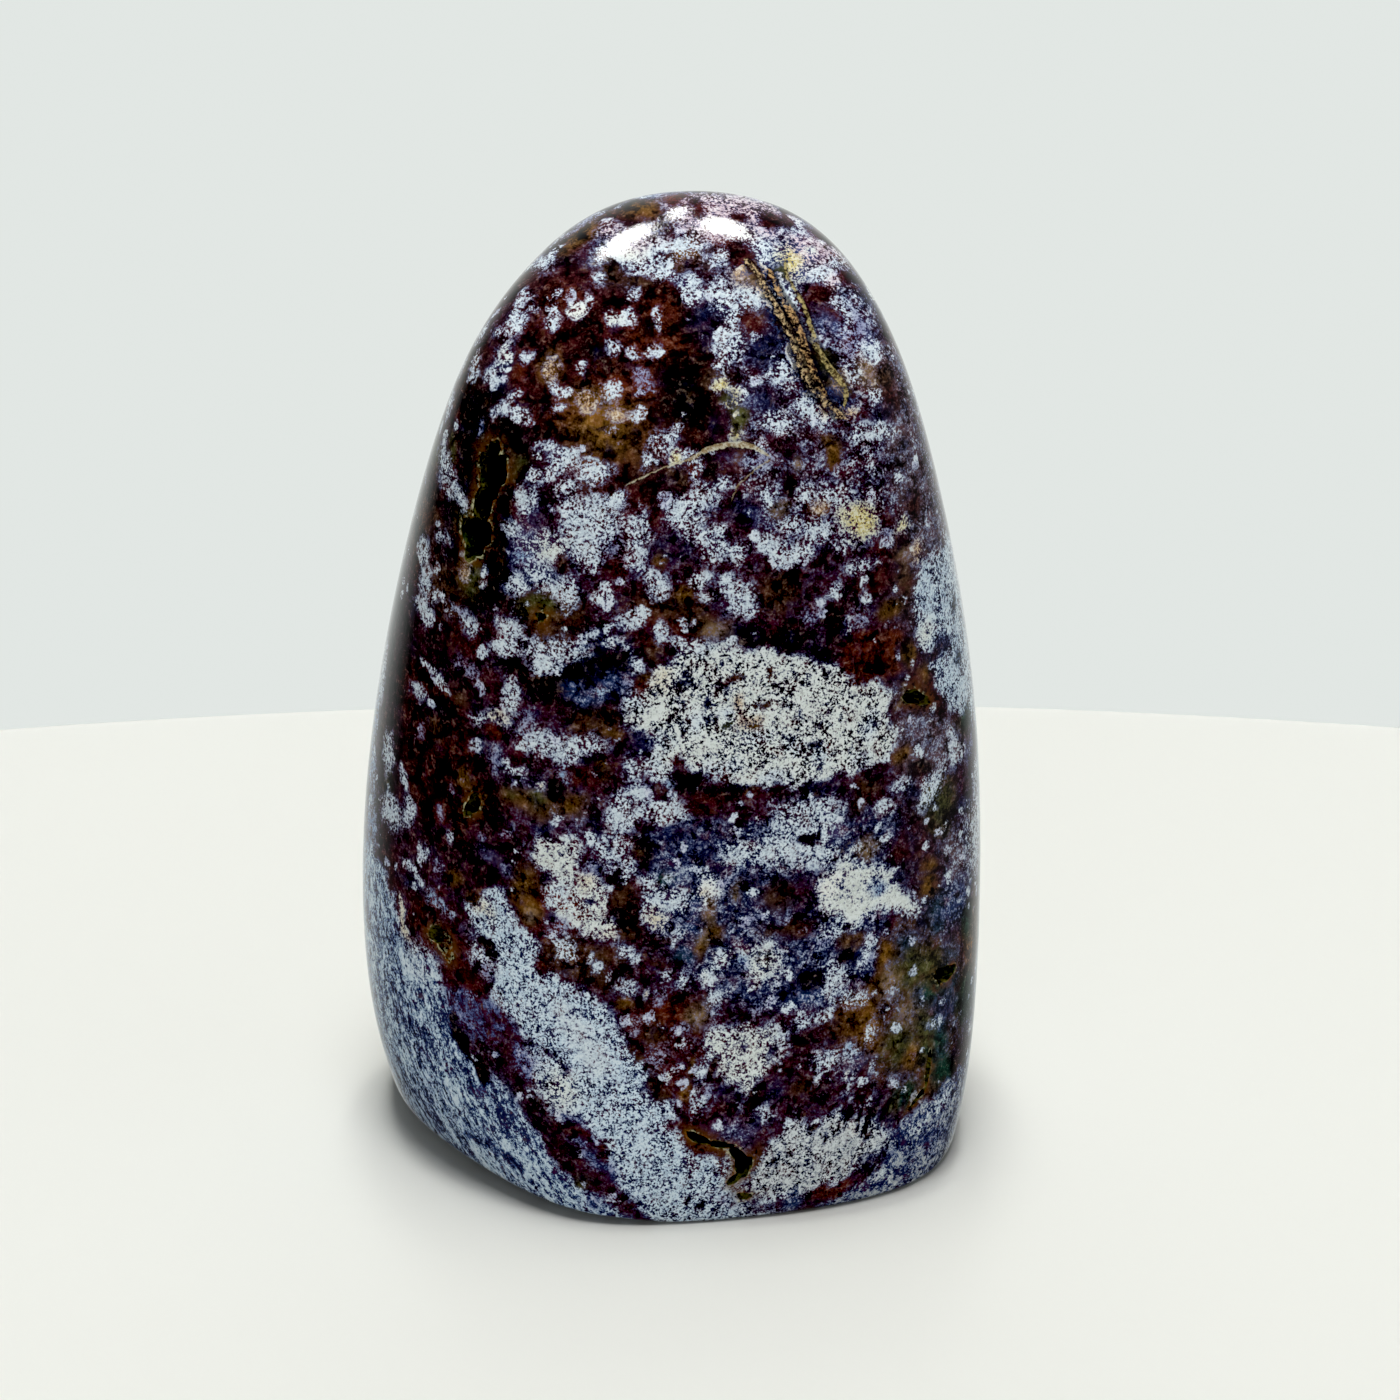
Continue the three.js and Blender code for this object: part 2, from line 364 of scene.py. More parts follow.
# Large areas on the front, as outlines of x and z in millimetres.
# Each has its colours, how much bloom it holds, how calm its grain is, and how streaked it is.
areas = [
    ("burgundy", 0.15, 0, 0, [(8, 104), (12, 108), (16, 110), (21, 106), (25, 99), (27, 92), (27, 84), (20, 82), (12, 83),
                             (8, 88), (9, 96)]),
    ("navy", 0.12, 0, 0, [(-3, 50), (4, 52), (14, 51), (22, 52), (27, 50), (26, 40), (24, 30), (16, 27), (8, 28), (3, 32),
                          (-1, 38)]),
    ("mauve", 0.14, 0, 0, [(23.5, 104), (27, 104), (31, 92), (34.5, 80), (30, 79), (27, 84), (25, 92)]),
    ("black", -0.14, 0, 0, [(-23, 97), (-17.5, 97), (-15.4, 92), (-16.4, 87), (-18, 83), (-18, 77), (-24, 76), (-25, 82),
                            (-24.5, 88), (-23.6, 93)]),
    ("burgundy", -0.12, 0, 0, [(-33, 72), (-26, 71), (-22, 66), (-21, 58), (-19, 52), (-18, 44), (-23, 40),
                             (-30, 42), (-33, 50), (-34, 60)]),
    ("maroon", -0.18, 0, 0, [(-31.5, 66), (-24.5, 64), (-22, 57), (-22, 50), (-24, 46), (-30, 48), (-32, 56)]),
    ("maroon", -0.23, 0, 0, [(-17, 104), (-12, 108), (-6, 109.5), (0, 110), (3.5, 107), (5, 100), (4.5, 94), (-2, 93),
                             (-8, 95), (-14, 94), (-18, 98)]),
    ("rust", -0.22, 0, 0, [(-4, 108), (0.5, 109), (3.5, 106), (4.5, 100), (4.5, 95), (1, 95), (-1, 98), (-4, 100),
                             (-7, 96), (-11, 95), (-14, 97), (-10, 101), (-6, 103), (-5, 105)]),
    ("black sand", 0.03, -0.8, 1, [(8, 112.5), (10.5, 113), (12.5, 111), (14, 108.5), (15.5, 105.5), (17.5, 103), (20.5, 100),
                               (20, 97), (18, 96.5), (16, 98.5), (14, 101.5), (12.5, 104.5), (11.5, 107), (9.5, 109.5)]),
    ("mauve", 0.14, 0, 0, [(26, 61), (28, 61.5), (31, 60.5), (34, 58), (34.5, 54), (31, 53.5), (27, 54.5),
                           (25.5, 58)]),
    ("brown", 0.12, 0.2, 0.2, [(25, 34), (27, 37), (31, 36), (33, 32), (35, 30), (35.5, 20), (33, 16), (30, 14.5),
                          (27, 15.5), (24, 17), (25.4, 21), (24, 25), (25.2, 29)]),
    ("maroon", 0.04, 0, 0, [(-5.5, 25), (-4, 21.8), (-2.3, 19.8), (-2, 17.5), (0.5, 15.5), (2, 14.5), (3.5, 16),
                            (3.2, 20), (4.2, 22), (4.4, 25.5), (3, 30), (-2, 30), (-6, 28)]),
    ("brown", 0.02, 0, 0, [(-15, 36), (-11, 36.8), (-6, 36), (-4, 33), (-6, 31), (-10, 31.5), (-14, 33)]),
    ("brown", 0.04, 0, 0, [(-11, 65), (-7, 65.2), (-5.6, 63.6), (-5.6, 61.8), (-8, 61.3), (-11, 62)]),
    ("navy", 0.02, 0, 0, [(-13, 69), (-9, 74), (-4, 73), (-3, 69), (-5, 65.5), (-12, 65)]),
    ("rust", -0.04, 0, 0, [(20.2, 72), (26.5, 71.8), (27, 67), (25, 65.8), (21, 66), (20.2, 69)]),
    ("navy frost", 0.35, 0, 1, [(-38, 39), (-34, 38), (-32.3, 33), (-31.5, 29.5), (-28.3, 30.5), (-26, 25.5), (-24.5, 21),
                         (-22.6, 18), (-20.5, 17.5), (-18.2, 15.5), (-16.5, 12.5), (-14, 9.5), (-12.5, 6.5),
                         (-9, 4), (-6, 2), (-3, 0), (-10, -6), (-38, -6)]),
    ("burgundy lavender", 0.15, 0, 0.7, [(-27, 27), (-24, 28), (-20.5, 27.5), (-18, 24.5), (-16, 21), (-15.3, 17.5),
                               (-17.5, 19), (-19.5, 23), (-22, 21.5), (-24.5, 22)]),
    ("navy lavender", 0.2, 0, 0.5, [(-13.5, 15.2), (-10.6, 15), (-9.8, 13), (-8, 10.6), (-6.6, 8.4), (-5.6, 6),
                                (-4, 3), (-2, 0.5), (-4.5, 0.5), (-7, 5), (-9, 8.5), (-11, 11.5)]),
    ("navy grey", 0.23, -0.3, 0.8, [(25.5, 9), (29, 10.5), (31, 12.5), (34.5, 14), (38, 14), (38, -6), (16, -6), (18, 0.5),
                            (22, 3), (25, 4.5), (26.8, 7)]),
    ("navy frost", 0.48, -0.3, 0, [(28.5, 76.5), (30.5, 79), (33, 80), (36, 79), (38, 70), (39.5, 60), (36, 57.5),
                            (34, 59.5), (32.2, 62), (31, 64.5), (31.3, 67.5), (29.2, 69), (28.8, 72)]),
    ("black grey warm", 0.48, -0.5, 0, [(-4, 65.8), (-3, 67.5), (-1.2, 69.5), (0.6, 70), (2.5, 71), (4.5, 71.9), (7, 71.2),
                            (9.5, 71), (12, 71), (13.6, 70), (17.5, 68.9), (19.5, 68), (21.5, 66), (24, 65.6),
                            (25.2, 63.5), (25.3, 61), (26.2, 59), (25.2, 57.6), (23.7, 56.2), (21.8, 55.6),
                            (20, 56.3), (17.5, 55.4), (15, 55), (12.5, 55.2), (10, 55.5), (7.5, 55.8),
                            (5.5, 56.8), (3.5, 57.5), (1.5, 58.8), (0, 56.6), (-1.5, 56.6), (-1.8, 58.5),
                            (-1, 60), (-1.3, 62), (-3.5, 62), (-4.8, 62.8), (-5.2, 64.5)]),
    ("navy frost", 0.48, -0.3, 0, [(-23.8, 38.8), (-22.3, 39.5), (-20.2, 41.3), (-19, 41.2), (-18, 38.7), (-16.6, 37.2),
                          (-15, 35.5), (-15.9, 34.2), (-15.3, 32), (-14.6, 31), (-13.8, 32.3), (-12.2, 31.2),
                          (-10.6, 30.4), (-7.9, 29), (-6.5, 26.8), (-5.9, 25), (-5, 23), (-3.8, 21.6),
                          (-2.4, 20), (-3.4, 19.2), (-2.6, 17.5), (-0.5, 16.4), (1, 15.3), (0, 14.5),
                          (-0.1, 13.4), (1, 12.3), (1.8, 11.5), (1.6, 10.3), (3, 9.9), (5, 9.3), (6.3, 6.8),
                          (7.2, 4.6), (8.8, 1.5), (9, -5), (-2, -5), (-2.2, 0.8), (-4.3, 3.4), (-6, 6.5),
                          (-7, 8.8), (-8, 10.8), (-8.7, 12), (-9.8, 13.4), (-10.6, 15.3), (-13.4, 15.6),
                          (-14.9, 17.1), (-15.4, 19.2), (-15.5, 21.5), (-17, 23.5), (-17.7, 25.8),
                          (-20.3, 27.7), (-20.2, 30.5), (-20.4, 32.8), (-20.5, 34.8), (-22.4, 35.6),
                          (-23.6, 37.4)]),
    ("warm", 0.46, 0, 0, [(-16, 45.5), (-15.5, 47.5), (-14.8, 49.2), (-12.5, 49), (-11, 48), (-10.3, 46),
                            (-9.8, 44.6), (-8, 44.3), (-6.8, 42.6), (-6.8, 40), (-6.3, 38), (-5.6, 36.8),
                            (-7.5, 37.3), (-9.5, 37.5), (-10.7, 38.5), (-12.6, 38.9), (-13, 40.3),
                            (-14.7, 41.3), (-14, 43.2), (-13, 44.2), (-14.6, 44.8)]),
    ("ice", 0.48, 0, 0, [(12, 47.5), (13.5, 50), (14.2, 52.8), (17.5, 52.8), (19.5, 50.5), (19, 48.5),
                           (17.6, 47.5), (19.4, 46.4), (19.6, 45.3), (17, 45), (13.6, 45.4), (12.4, 46)]),
    ("warm", 0.74, 0.55, 0, [(17.3, 40), (18.3, 43.2), (20.2, 45.2), (21.8, 44.4), (23.6, 43.6), (26.4, 43),
                            (26.5, 41), (28.2, 39.2), (30, 37.4), (29, 36.8), (27, 38), (24.4, 38.2),
                            (22.4, 37.6), (22.2, 36.4), (20.3, 37), (20, 38.4), (18.6, 38.9)]),
    ("navy ice", 0.62, 0.5, 0, [(-13.6, 28.6), (-12, 29.4), (-10.4, 27), (-8.6, 25.4), (-7, 22.6), (-6.6, 20),
                            (-8.4, 19.4), (-10.4, 21), (-11, 23.6), (-12.8, 25.6)]),
    ("warm", 0.46, 0, 0, [(4.4, 25.3), (7, 25.7), (9.4, 25.7), (12.5, 25.7), (13.4, 24), (12.8, 22), (12.2, 20.3),
                            (10.2, 18.8), (10.6, 17.2), (8.7, 16), (8.3, 18.4), (5.8, 19.8), (4.4, 21.8)]),
    ("black grey", 0.5, -0.4, 0, [(11, 8.5), (12.6, 10.7), (14.4, 12.9), (16, 12.4), (17.9, 12.3), (19.4, 13.7),
                           (21.6, 12.9), (23.3, 12.4), (24.9, 10.7), (26.6, 8.6), (24.9, 7.2), (22.9, 5.9),
                           (21, 4.8), (18, 3.9), (14, 3.4), (10.8, 4), (9.8, 5.5)]),
    ("black grey", 0.62, 0.35, 0, [(18.2, 8.2), (20.4, 7.4), (22.8, 8.4), (23.6, 10.2), (21.6, 11.4), (19, 11)]),
]

# Spots on the front by colour: x, z, half width, half height and, where it is turned, its turn.
# A later or smaller spot lies over an earlier or larger one.
spots = {
    "ochre": [
        (-3, 117.2, 2, 0.6), (-10, 114.5, 1, 1.8), (-13.1, 102, 1.2, 1.5), (-8.5, 98.7, 2.5, 1), (-6.3, 97.4, 2, 1),
        (-7, 96, 3.8, 3), (18.6, 92.2, 0.7, 1), (18.4, 93.8, 0.8, 0.8), (17.1, 87, 1, 0.9),
        (-23.1, 78.5, 0.9, 1.8), (1.9, 77.8, 0.8, 0.7),
        (-2.6, 68, 0.6, 0.6), (-7.2, 57.6, 0.5, 0.8), (-14, 52.6, 1.5, 1.2), (-17.2, 53.3, 1.5, 1), (-11, 53, 1.5, 1),
        (27.8, 68.7, 0.5, 1.2), (29.5, 65.9, 0.5, 1), (25.6, 74.2, 1, 0.7), (27, 56.6, 1, 0.8), (-16.6, 42.5, 1.3, 1.8),
        (-15.9, 39.5, 1, 1), (-6.1, 61.7, 1, 0.5), (5.6, 37.5, 1.2, 0.7), (3.6, 35.5, 0.6, 0.9), (11.5, 37.8, 0.8, 0.5),
        (25.2, 32.8, 0.8, 1.3), (21.4, 35.3, 1.5, 0.6), (2.4, 21, 0.5, 0.8), (1.9, 18, 0.6, 0.8), (28.8, 18.6, 0.8, 1.3),
        (30.8, 42.2, 0.8, 1), (30.5, 39.5, 1, 1.2), (10.4, 62.2, 0.7, 0.3), (-5.3, 29, 0.6, 0.5), (-23.7, 54, 0.7, 1),
        (-21, 52, 0.9, 0.7), (-0.7, 81.8, 0.5, 0.5), (-25, 41.5, 0.8, 0.8), (-22.6, 39.6, 0.8, 0.6)],
    "tan": [
        (9, 110.6, 1.3, 0.7), (19.7, 100.4, 0.9, 1), (22.6, 101, 1, 1.2), (14.5, 91.9, 0.5, 0.6), (12.8, 87, 0.8, 0.8),
        (27, 80.3, 1, 0.8), (-15.8, 39.2, 0.7, 0.4), (4.1, 36.9, 1, 0.8), (8, 42.5, 0.4, 1), (5, 40.5, 0.5, 1.6),
        (3.6, 27.6, 1.2, 1), (29, 25, 1.5, 1.5), (23.4, 46.2, 1.2, 0.9), (5.7, 73.9, 1.4, 0.9), (26, 29, 1, 1.6)],
    "olive": [
        (-14.6, 53.4, 1, 0.8), (-17.6, 53.6, 0.9, 0.7), (31, 29, 1.2, 2.6), (30.6, 19.4, 1.1, 2),
        (28.6, 30, 1.8, 2.6), (27.2, 21, 1.6, 2.4), (30.4, 22.6, 1, 1.6),
        (4.7, 42.8, 0.3, 0.3), (10.2, 33.8, 0.35, 0.3), (11.8, 32.8, 0.35, 0.3), (11.2, 34.4, 0.3, 0.3),
        (-14, 76.4, 1.6, 0.8), (-24.4, 92.4, 0.5, 1.6), (-17.2, 91.8, 0.9, 1.4), (-22.2, 77.6, 0.9, 1.8),
        (7, 98.8, 1, 0.6), (8.1, 97.2, 0.8, 0.8), (13.1, 111.2, 0.8, 0.8), (17.8, 102.5, 0.8, 0.8),
        (7.9, 96.5, 0.7, 1.2), (-16, 75.8, 1.2, 0.8), (-22.6, 84, 1.4, 1.6), (6.8, 62.1, 0.8, 0.4),
        (26.8, 13.3, 0.7, 0.8), (7.6, 4.3, 0.4, 0.7), (-16.3, 15.6, 0.9, 0.7), (-10.2, 6, 0.9, 0.5)],
    "brown": [
        (9.7, 111.3, 0.7, 0.7), (-6.2, 111.3, 1.5, 1), (-3, 110.5, 2, 0.5), (6, 100.8, 1.3, 1), (4.7, 100.7, 0.8, 0.8),
        (24.5, 100.2, 1, 1.8), (-17.7, 92, 0.8, 1.5), (-26.6, 83.5, 1.5, 1), (-11.8, 81, 1, 0.8), (1.2, 90.9, 1, 0.8),
        (0, 76.5, 4, 1.5), (12.5, 77.6, 2.2, 2), (27, 77, 0.8, 2.5), (-1.7, 71.2, 0.9, 1.2), (3.6, 74.2, 1.3, 1.5),
        (-9, 63.5, 2, 1.2), (-15, 52, 1.6, 1), (2.1, 63.2, 0.3, 0.3), (8.5, 62.8, 0.3, 0.3), (10.9, 64.6, 1, 0.7),
        (11.5, 68.3, 0.6, 0.8), (8.3, 68.2, 0.8, 0.4), (-5.2, 42.3, 1.5, 1), (-4.8, 37.8, 1.5, 1), (13, 41.5, 2, 1.6),
        (-18.7, 18.8, 0.7, 0.9), (5.7, 8.8, 0.9, 0.8), (16, 17.5, 1.8, 1), (14.5, 37.6, 1.4, 0.8),
        (-24, 63.3, 0.9, 1), (23, 53.5, 1.6, 1), (21.5, 51.2, 1, 1), (-27.2, 58.8, 1, 1.4), (-2, 25.5, 1.5, 1.5)],
    "rust": [
        (0.8, 118, 1.2, 0.6), (-0.4, 107.4, 1.6, 2.8), (0.4, 104.5, 2.3, 2), (-16.6, 102.3, 1, 1.4), (-20, 60.3, 0.9, 0.7),
        (-3.2, 66.9, 0.9, 0.7), (22.4, 68.5, 2.2, 2.6), (0, 28, 2.5, 1.5), (17.3, 7.2, 0.25, 0.8)],
    "maroon": [
        (8, 116.2, 1.2, 0.5), (6.6, 113.4, 1.3, 0.6), (14.4, 115.6, 1, 0.7), (3.3, 117.3, 0.8, 0.7), (11.6, 116, 1, 0.8), (13.5, 116.2, 1.2, 0.7), (-6.2, 116.2, 1.3, 1.2),
        (8.2, 112.5, 1.4, 1.3), (9.6, 106.2, 1.3, 1.3), (19.5, 110.5, 1.8, 0.8), (17, 108.8, 2, 1.2),
        (25.4, 98, 0.8, 1.5), (20.8, 96.5, 1.8, 0.8), (-3.1, 89.2, 1, 0.6), (-2.6, 88.2, 1.5, 1), (-1.2, 86, 0.6, 1.3),
        (-5.5, 80.7, 1.5, 0.8), (24.8, 84.7, 0.8, 0.8), (28, 86, 1, 1.3), (23.8, 77.5, 2, 1.2), (-26.8, 71, 0.8, 1),
        (1.1, 58.3, 1, 0.6), (-10, 56.2, 2, 1.2), (4, 53, 1.8, 1.2), (14.8, 37.6, 2, 1), (27.2, 44.5, 1.5, 1),
        (-23.3, 28.6, 1.8, 0.9), (18.5, 107, 1.2, 1), (-24.5, 35, 1, 1.4)],
    "burgundy": [
        (-6.5, 48.2, 0.5, 0.45), (12.8, 93.4, 2, 1.3), (20.5, 54, 2, 1), (8, 52, 2, 1.2), (-6, 33, 1.2, 1), (15.5, 42.5, 1, 1.4)],
    "violet": [
        (-23.5, 35.2, 1, 0.8), (-21, 45.6, 1.2, 0.8), (-18.8, 44.3, 1.2, 0.8, 40), (7.5, 12.6, 2.4, 1.6),
        (19.4, 49, 1, 0.9), (-28, 61.2, 1.2, 0.6)],
    "navy": [
        (2.3, 112.3, 0.6, 0.5), (4, 107, 2, 2), (11, 104.4, 2, 1.4), (18.8, 98.9, 0.8, 0.8), (10.9, 103, 2, 1),
        (11.2, 98.8, 2, 1.5), (-17.6, 82.2, 0.6, 2), (24.5, 96.2, 1, 1), (9, 86.7, 1.8, 1.2), (0.8, 83, 2, 1.3),
        (8, 73, 2, 0.8), (-9.3, 58.4, 0.8, 0.7), (2, 67.6, 1, 0.7), (-2.8, 60.7, 1.5, 1.3), (32, 68.3, 1.2, 1.5),
        (30.3, 67, 1, 1), (-7.5, 45.8, 1.2, 0.6), (4.4, 47, 1.4, 0.8), (9.9, 43.1, 1, 1), (16.2, 41.5, 1.2, 1.8),
        (30.1, 35, 0.8, 0.6), (24.6, 42.2, 0.7, 0.5), (27.2, 42, 1, 1.5), (32.7, 23.4, 1.5, 1.5), (13, 29.6, 1.8, 1.2),
        (7.7, 17.3, 1.3, 1), (12.2, 17.2, 1.4, 1.2), (24.2, 6.9, 1.1, 0.8), (26, 11, 0.8, 0.8), (-22.5, 15, 1.5, 0.7),
        (4.9, 66, 0.5, 0.4), (23.9, 61.4, 0.3, 0.3), (21.8, 59.3, 0.35, 0.3), (-9.3, 41.6, 0.5, 0.6),
        (-13.8, 39.5, 0.9, 0.9), (-13.7, 43.7, 0.9, 0.5), (12.3, 22.5, 0.5, 0.4), (8.8, 23.8, 0.4, 0.4),
        (-30.8, 38.6, 1.6, 0.8), (8.2, 33, 0.9, 0.9), (-14.6, 49.9, 1.4, 0.7), (-8, 50.4, 1, 0.8),
        (1, 50.2, 2, 0.9), (16.5, 53.6, 3, 0.6), (28.3, 52, 0.8, 1.4)],
    "blue": [
        (18, 106, 0.8, 1.2), (-11, 67, 1.2, 0.7), (-9, 65.7, 1.4, 0.8), (3, 41, 0.9, 1), (3, 38.6, 0.8, 1), (0.5, 42.7, 0.6, 0.4),
        (16, 28.6, 1.5, 1), (22.1, 20, 1.3, 0.9), (-6, 68, 1.2, 0.7)],
    "teal": [
        (32.2, 23, 1.3, 3), (31.6, 36.5, 1, 2),
        (33.6, 27, 1.2, 4), (32.4, 19, 1.2, 3), (30, 26, 1, 1.4),
        (31.8, 34, 1, 0.8), (28.1, 33.5, 1.3, 1), (1.5, 34.6, 1.2, 0.6), (33.4, 72, 0.5, 1), (34, 66, 0.5, 0.8)],
    "green": [
        (-0.4, 44.2, 0.6, 0.5), (31.2, 26.4, 1.1, 0.9), (36, 23, 1, 3), (35, 58, 0.8, 1.4), (33, 15.5, 1.2, 2), (32.4, 19.5, 0.9, 0.9),
        (28.3, 14.6, 1.2, 0.8), (35.8, 33, 0.7, 2)],
    "black": [
        (1.7, 101, 2.7, 3.6), (2.2, 98, 2.6, 2.8), (-2.4, 106, 0.9, 1), (-8.5, 103.8, 1.5, 1), (-7, 102.3, 0.8, 0.8),
        (-21.5, 98, 2, 2.5), (-19, 99.3, 1.2, 0.8), (18.2, 100.7, 1, 2.2, -25), (-21.5, 77, 3.2, 3), (-6.6, 93.3, 0.6, 0.6),
        (4.7, 91.3, 1, 1), (13.7, 89.7, 0.9, 1), (-17.8, 68.7, 2, 0.7), (-14, 66.8, 2, 1.6), (-8, 70.3, 3.5, 1.2),
        (-11, 68.5, 1.5, 1.2), (19, 73.8, 1, 1.8), (13.7, 72.2, 1.5, 1.2), (9, 72.5, 3, 0.5), (1.9, 55.6, 1.4, 0.9),
        (8, 54.6, 4, 0.7), (29.2, 54.6, 1.5, 0.7), (-5, 40.3, 1.8, 1.5), (-2.7, 47.8, 1.3, 1.3), (-5.9, 44.2, 1, 0.8),
        (5.4, 69.2, 0.3, 0.3), (3.9, 68, 0.3, 0.3), (6.4, 68.2, 0.35, 0.3), (6.6, 66.9, 0.9, 0.6), (1.2, 65.8, 0.3, 0.3),
        (2, 65, 0.45, 0.45), (4.5, 65, 0.4, 0.35), (0.4, 63.4, 0.3, 0.3), (4.6, 63.1, 0.3, 0.3), (5.4, 62.7, 0.4, 0.3),
        (1.5, 61.6, 0.25, 0.3), (4.7, 59.3, 0.6, 0.4), (12.5, 66.3, 0.5, 0.3), (13.8, 66.1, 0.3, 0.3), (13.5, 64.4, 0.4, 0.4),
        (14.9, 63.3, 0.4, 0.2), (18.3, 63.3, 0.45, 0.2, -45), (12.3, 62.4, 0.5, 0.3), (16.9, 61.6, 0.45, 0.2),
        (17, 59.6, 0.5, 0.3), (15.2, 59, 0.5, 0.3), (22.4, 57.7, 0.35, 0.25), (17.9, 57.1, 0.25, 0.5), (14.1, 57, 0.4, 0.3),
        (12.4, 55.6, 0.6, 0.3), (15.9, 47.9, 0.9, 0.5), (17.5, 48.8, 0.3, 0.8), (13.4, 45.8, 0.5, 0.25), (20.6, 46.5, 1.2, 0.4, -45),
        (19.9, 39.7, 0.3, 0.3), (21, 33.5, 1.1, 0.9), (16.9, 31, 1.5, 1), (-16.3, 14.5, 0.5, 0.5), (-12.3, 9, 0.8, 0.9),
        (5.1, 20.9, 0.5, 1), (17.1, 12.3, 0.8, 0.5), (18.3, 10.3, 0.3, 0.3), (19.4, 10.6, 0.25, 0.4, -40), (13.9, 8.9, 0.6, 0.25),
        (12.7, 8, 0.8, 0.3), (24, 4.8, 0.8, 0.5), (9.4, 21.7, 0.6, 0.15), (-3.6, 29, 0.8, 0.6), (20.8, 9.4, 0.3, 0.2),
        (22, 9.9, 0.3, 0.2), (-12.7, 54.8, 1, 0.8), (-25.5, 61.5, 1.5, 1), (-7, 18.3, 1.3, 0.35, 10),
        (-22.3, 31.4, 0.5, 1.2), (-17, 30.5, 0.25, 0.2), (-13.2, 23.9, 0.3, 0.2), (10.5, 16.9, 1, 0.8), (15.3, 23.5, 1, 0.6),
        (13.6, 20.6, 1.6, 0.5)],
    "ice": [
        (9.1, 69.8, 1.9, 0.9), (-3.7, 65.5, 1.3, 1.4), (6.8, 64, 1.5, 0.8), (14.7, 59.5, 1.4, 0.9), (17.4, 58.1, 1.3, 1),
        (22.2, 57, 1.3, 0.8), (6.1, 57.2, 1.9, 1), (11.9, 56.1, 1.6, 0.8), (-0.6, 60.7, 1.4, 1.2), (23.3, 61, 0.9, 1.6),
        (3.8, 71.3, 1.8, 0.8), (10.6, 60.6, 1.5, 0.8), (3, 63, 1.1, 1.3),
        (-4, 112.8, 3.5, 1.8), (-0.4, 111.4, 1, 0.9), (2, 113.7, 1.5, 1), (6.1, 112.6, 0.8, 0.8), (13.9, 115, 1.3, 0.8),
        (10.8, 113.5, 1.6, 1.3), (9, 109, 1.6, 1.4), (8, 107, 1.8, 1.2), (7.2, 104.8, 1.3, 1.5), (6.6, 103.5, 1.2, 1),
        (6, 109.3, 1.3, 1.3), (2.5, 110.5, 1.3, 1), (2.7, 108.9, 0.8, 0.8), (-8.9, 109, 0.6, 0.6), (-7.6, 110.7, 0.9, 0.5),
        (-3.8, 109.2, 0.9, 0.7), (-4.1, 107, 0.8, 0.8), (-1.1, 106.8, 0.7, 1.3), (-6.2, 104, 0.8, 1), (-4, 103.5, 1, 0.8),
        (-1.7, 103.7, 0.8, 0.8), (-9.7, 102.1, 0.8, 1), (-12.2, 99.8, 1.3, 0.7), (-6.2, 99.9, 1.3, 1.1),
        (-12.3, 97.8, 0.9, 0.7), (-3.2, 97.2, 0.7, 0.7), (6.2, 102.1, 1.3, 0.4), (-16.9, 106.4, 1, 1.1), (-16, 108.7, 0.9, 0.8),
        (-14.2, 111.8, 1, 1), (-12.6, 106.5, 1.2, 1), (-15.7, 103, 0.9, 0.8), (-21.8, 101.8, 0.6, 1.2), (-22, 100.5, 0.5, 0.8),
        (-19.2, 105.2, 0.6, 0.6), (-19.8, 100.6, 1.1, 0.8), (-16.8, 99.5, 0.8, 0.7), (-17.8, 97.9, 1.3, 1),
        (16.8, 110.8, 1.2, 0.8), (19, 111.8, 1.5, 0.8), (13.2, 109, 1.8, 1.2), (19.4, 107.3, 1, 1.5), (21, 101, 1, 1),
        (23.3, 102.8, 1, 1), (13.1, 102, 1.6, 2), (15.8, 98, 1, 1), (23.3, 98.6, 0.8, 0.8), (-19.5, 96.7, 0.5, 0.5),
        (-15.8, 96.8, 0.9, 0.8), (-13.5, 94, 0.8, 0.8), (-11.5, 92.6, 1.3, 0.9), (-13, 91, 1.3, 0.8), (-11.3, 89.3, 1, 0.7),
        (-15.9, 87.9, 1, 1.5), (-25.4, 91, 0.8, 1.2), (-25.2, 88.9, 1, 1.5), (-24.2, 87, 0.9, 1), (-23.2, 86, 0.7, 1),
        (-25.8, 81.6, 1, 0.8), (-28.3, 79.3, 0.8, 1.2), (-28, 76.3, 0.8, 1.5), (-26.5, 77.8, 0.5, 0.5), (-26.8, 74.8, 0.8, 0.8),
        (-28.4, 73, 0.8, 1), (-20.8, 78.5, 0.5, 1.6), (-18, 84.5, 1, 1), (-14.5, 79.8, 1.2, 0.8), (-12.6, 78.2, 1.6, 1.2),
        (-11.2, 76.4, 1, 1), (-17.2, 78, 1.2, 0.9), (-3, 97.2, 0.5, 0.7), (-2.7, 92.4, 0.6, 0.9), (-0.8, 94.4, 1.6, 1.5),
        (1.2, 95.5, 0.8, 0.8), (2.7, 93, 0.8, 1), (3.4, 91.3, 0.7, 1.5), (6.6, 90, 0.9, 0.5), (-8.2, 91.3, 2, 1.1),
        (-11.1, 92.6, 0.8, 0.8), (-8.5, 86.3, 3, 2.2), (-3, 85.3, 1.5, 1.5), (-5.6, 88.5, 1.2, 0.8), (-9.2, 83.3, 2, 1.8),
        (-8.6, 81.4, 1.2, 1.2), (-3.5, 82.1, 1.2, 1.5), (4, 88.6, 1.5, 1), (1.6, 87.7, 1.8, 0.9), (2.3, 86, 2, 1),
        (4, 84, 1.8, 0.7), (5.4, 82.4, 1.2, 0.8), (5.8, 85.2, 0.8, 0.5), (11.2, 88.2, 0.9, 1.2), (10.9, 83.2, 1.2, 0.9),
        (12.8, 81.7, 1, 1), (7.8, 82.2, 0.8, 0.8), (-0.9, 78.7, 1.2, 1.2), (-1.8, 80, 0.7, 0.7), (-5, 79.2, 0.4, 0.4),
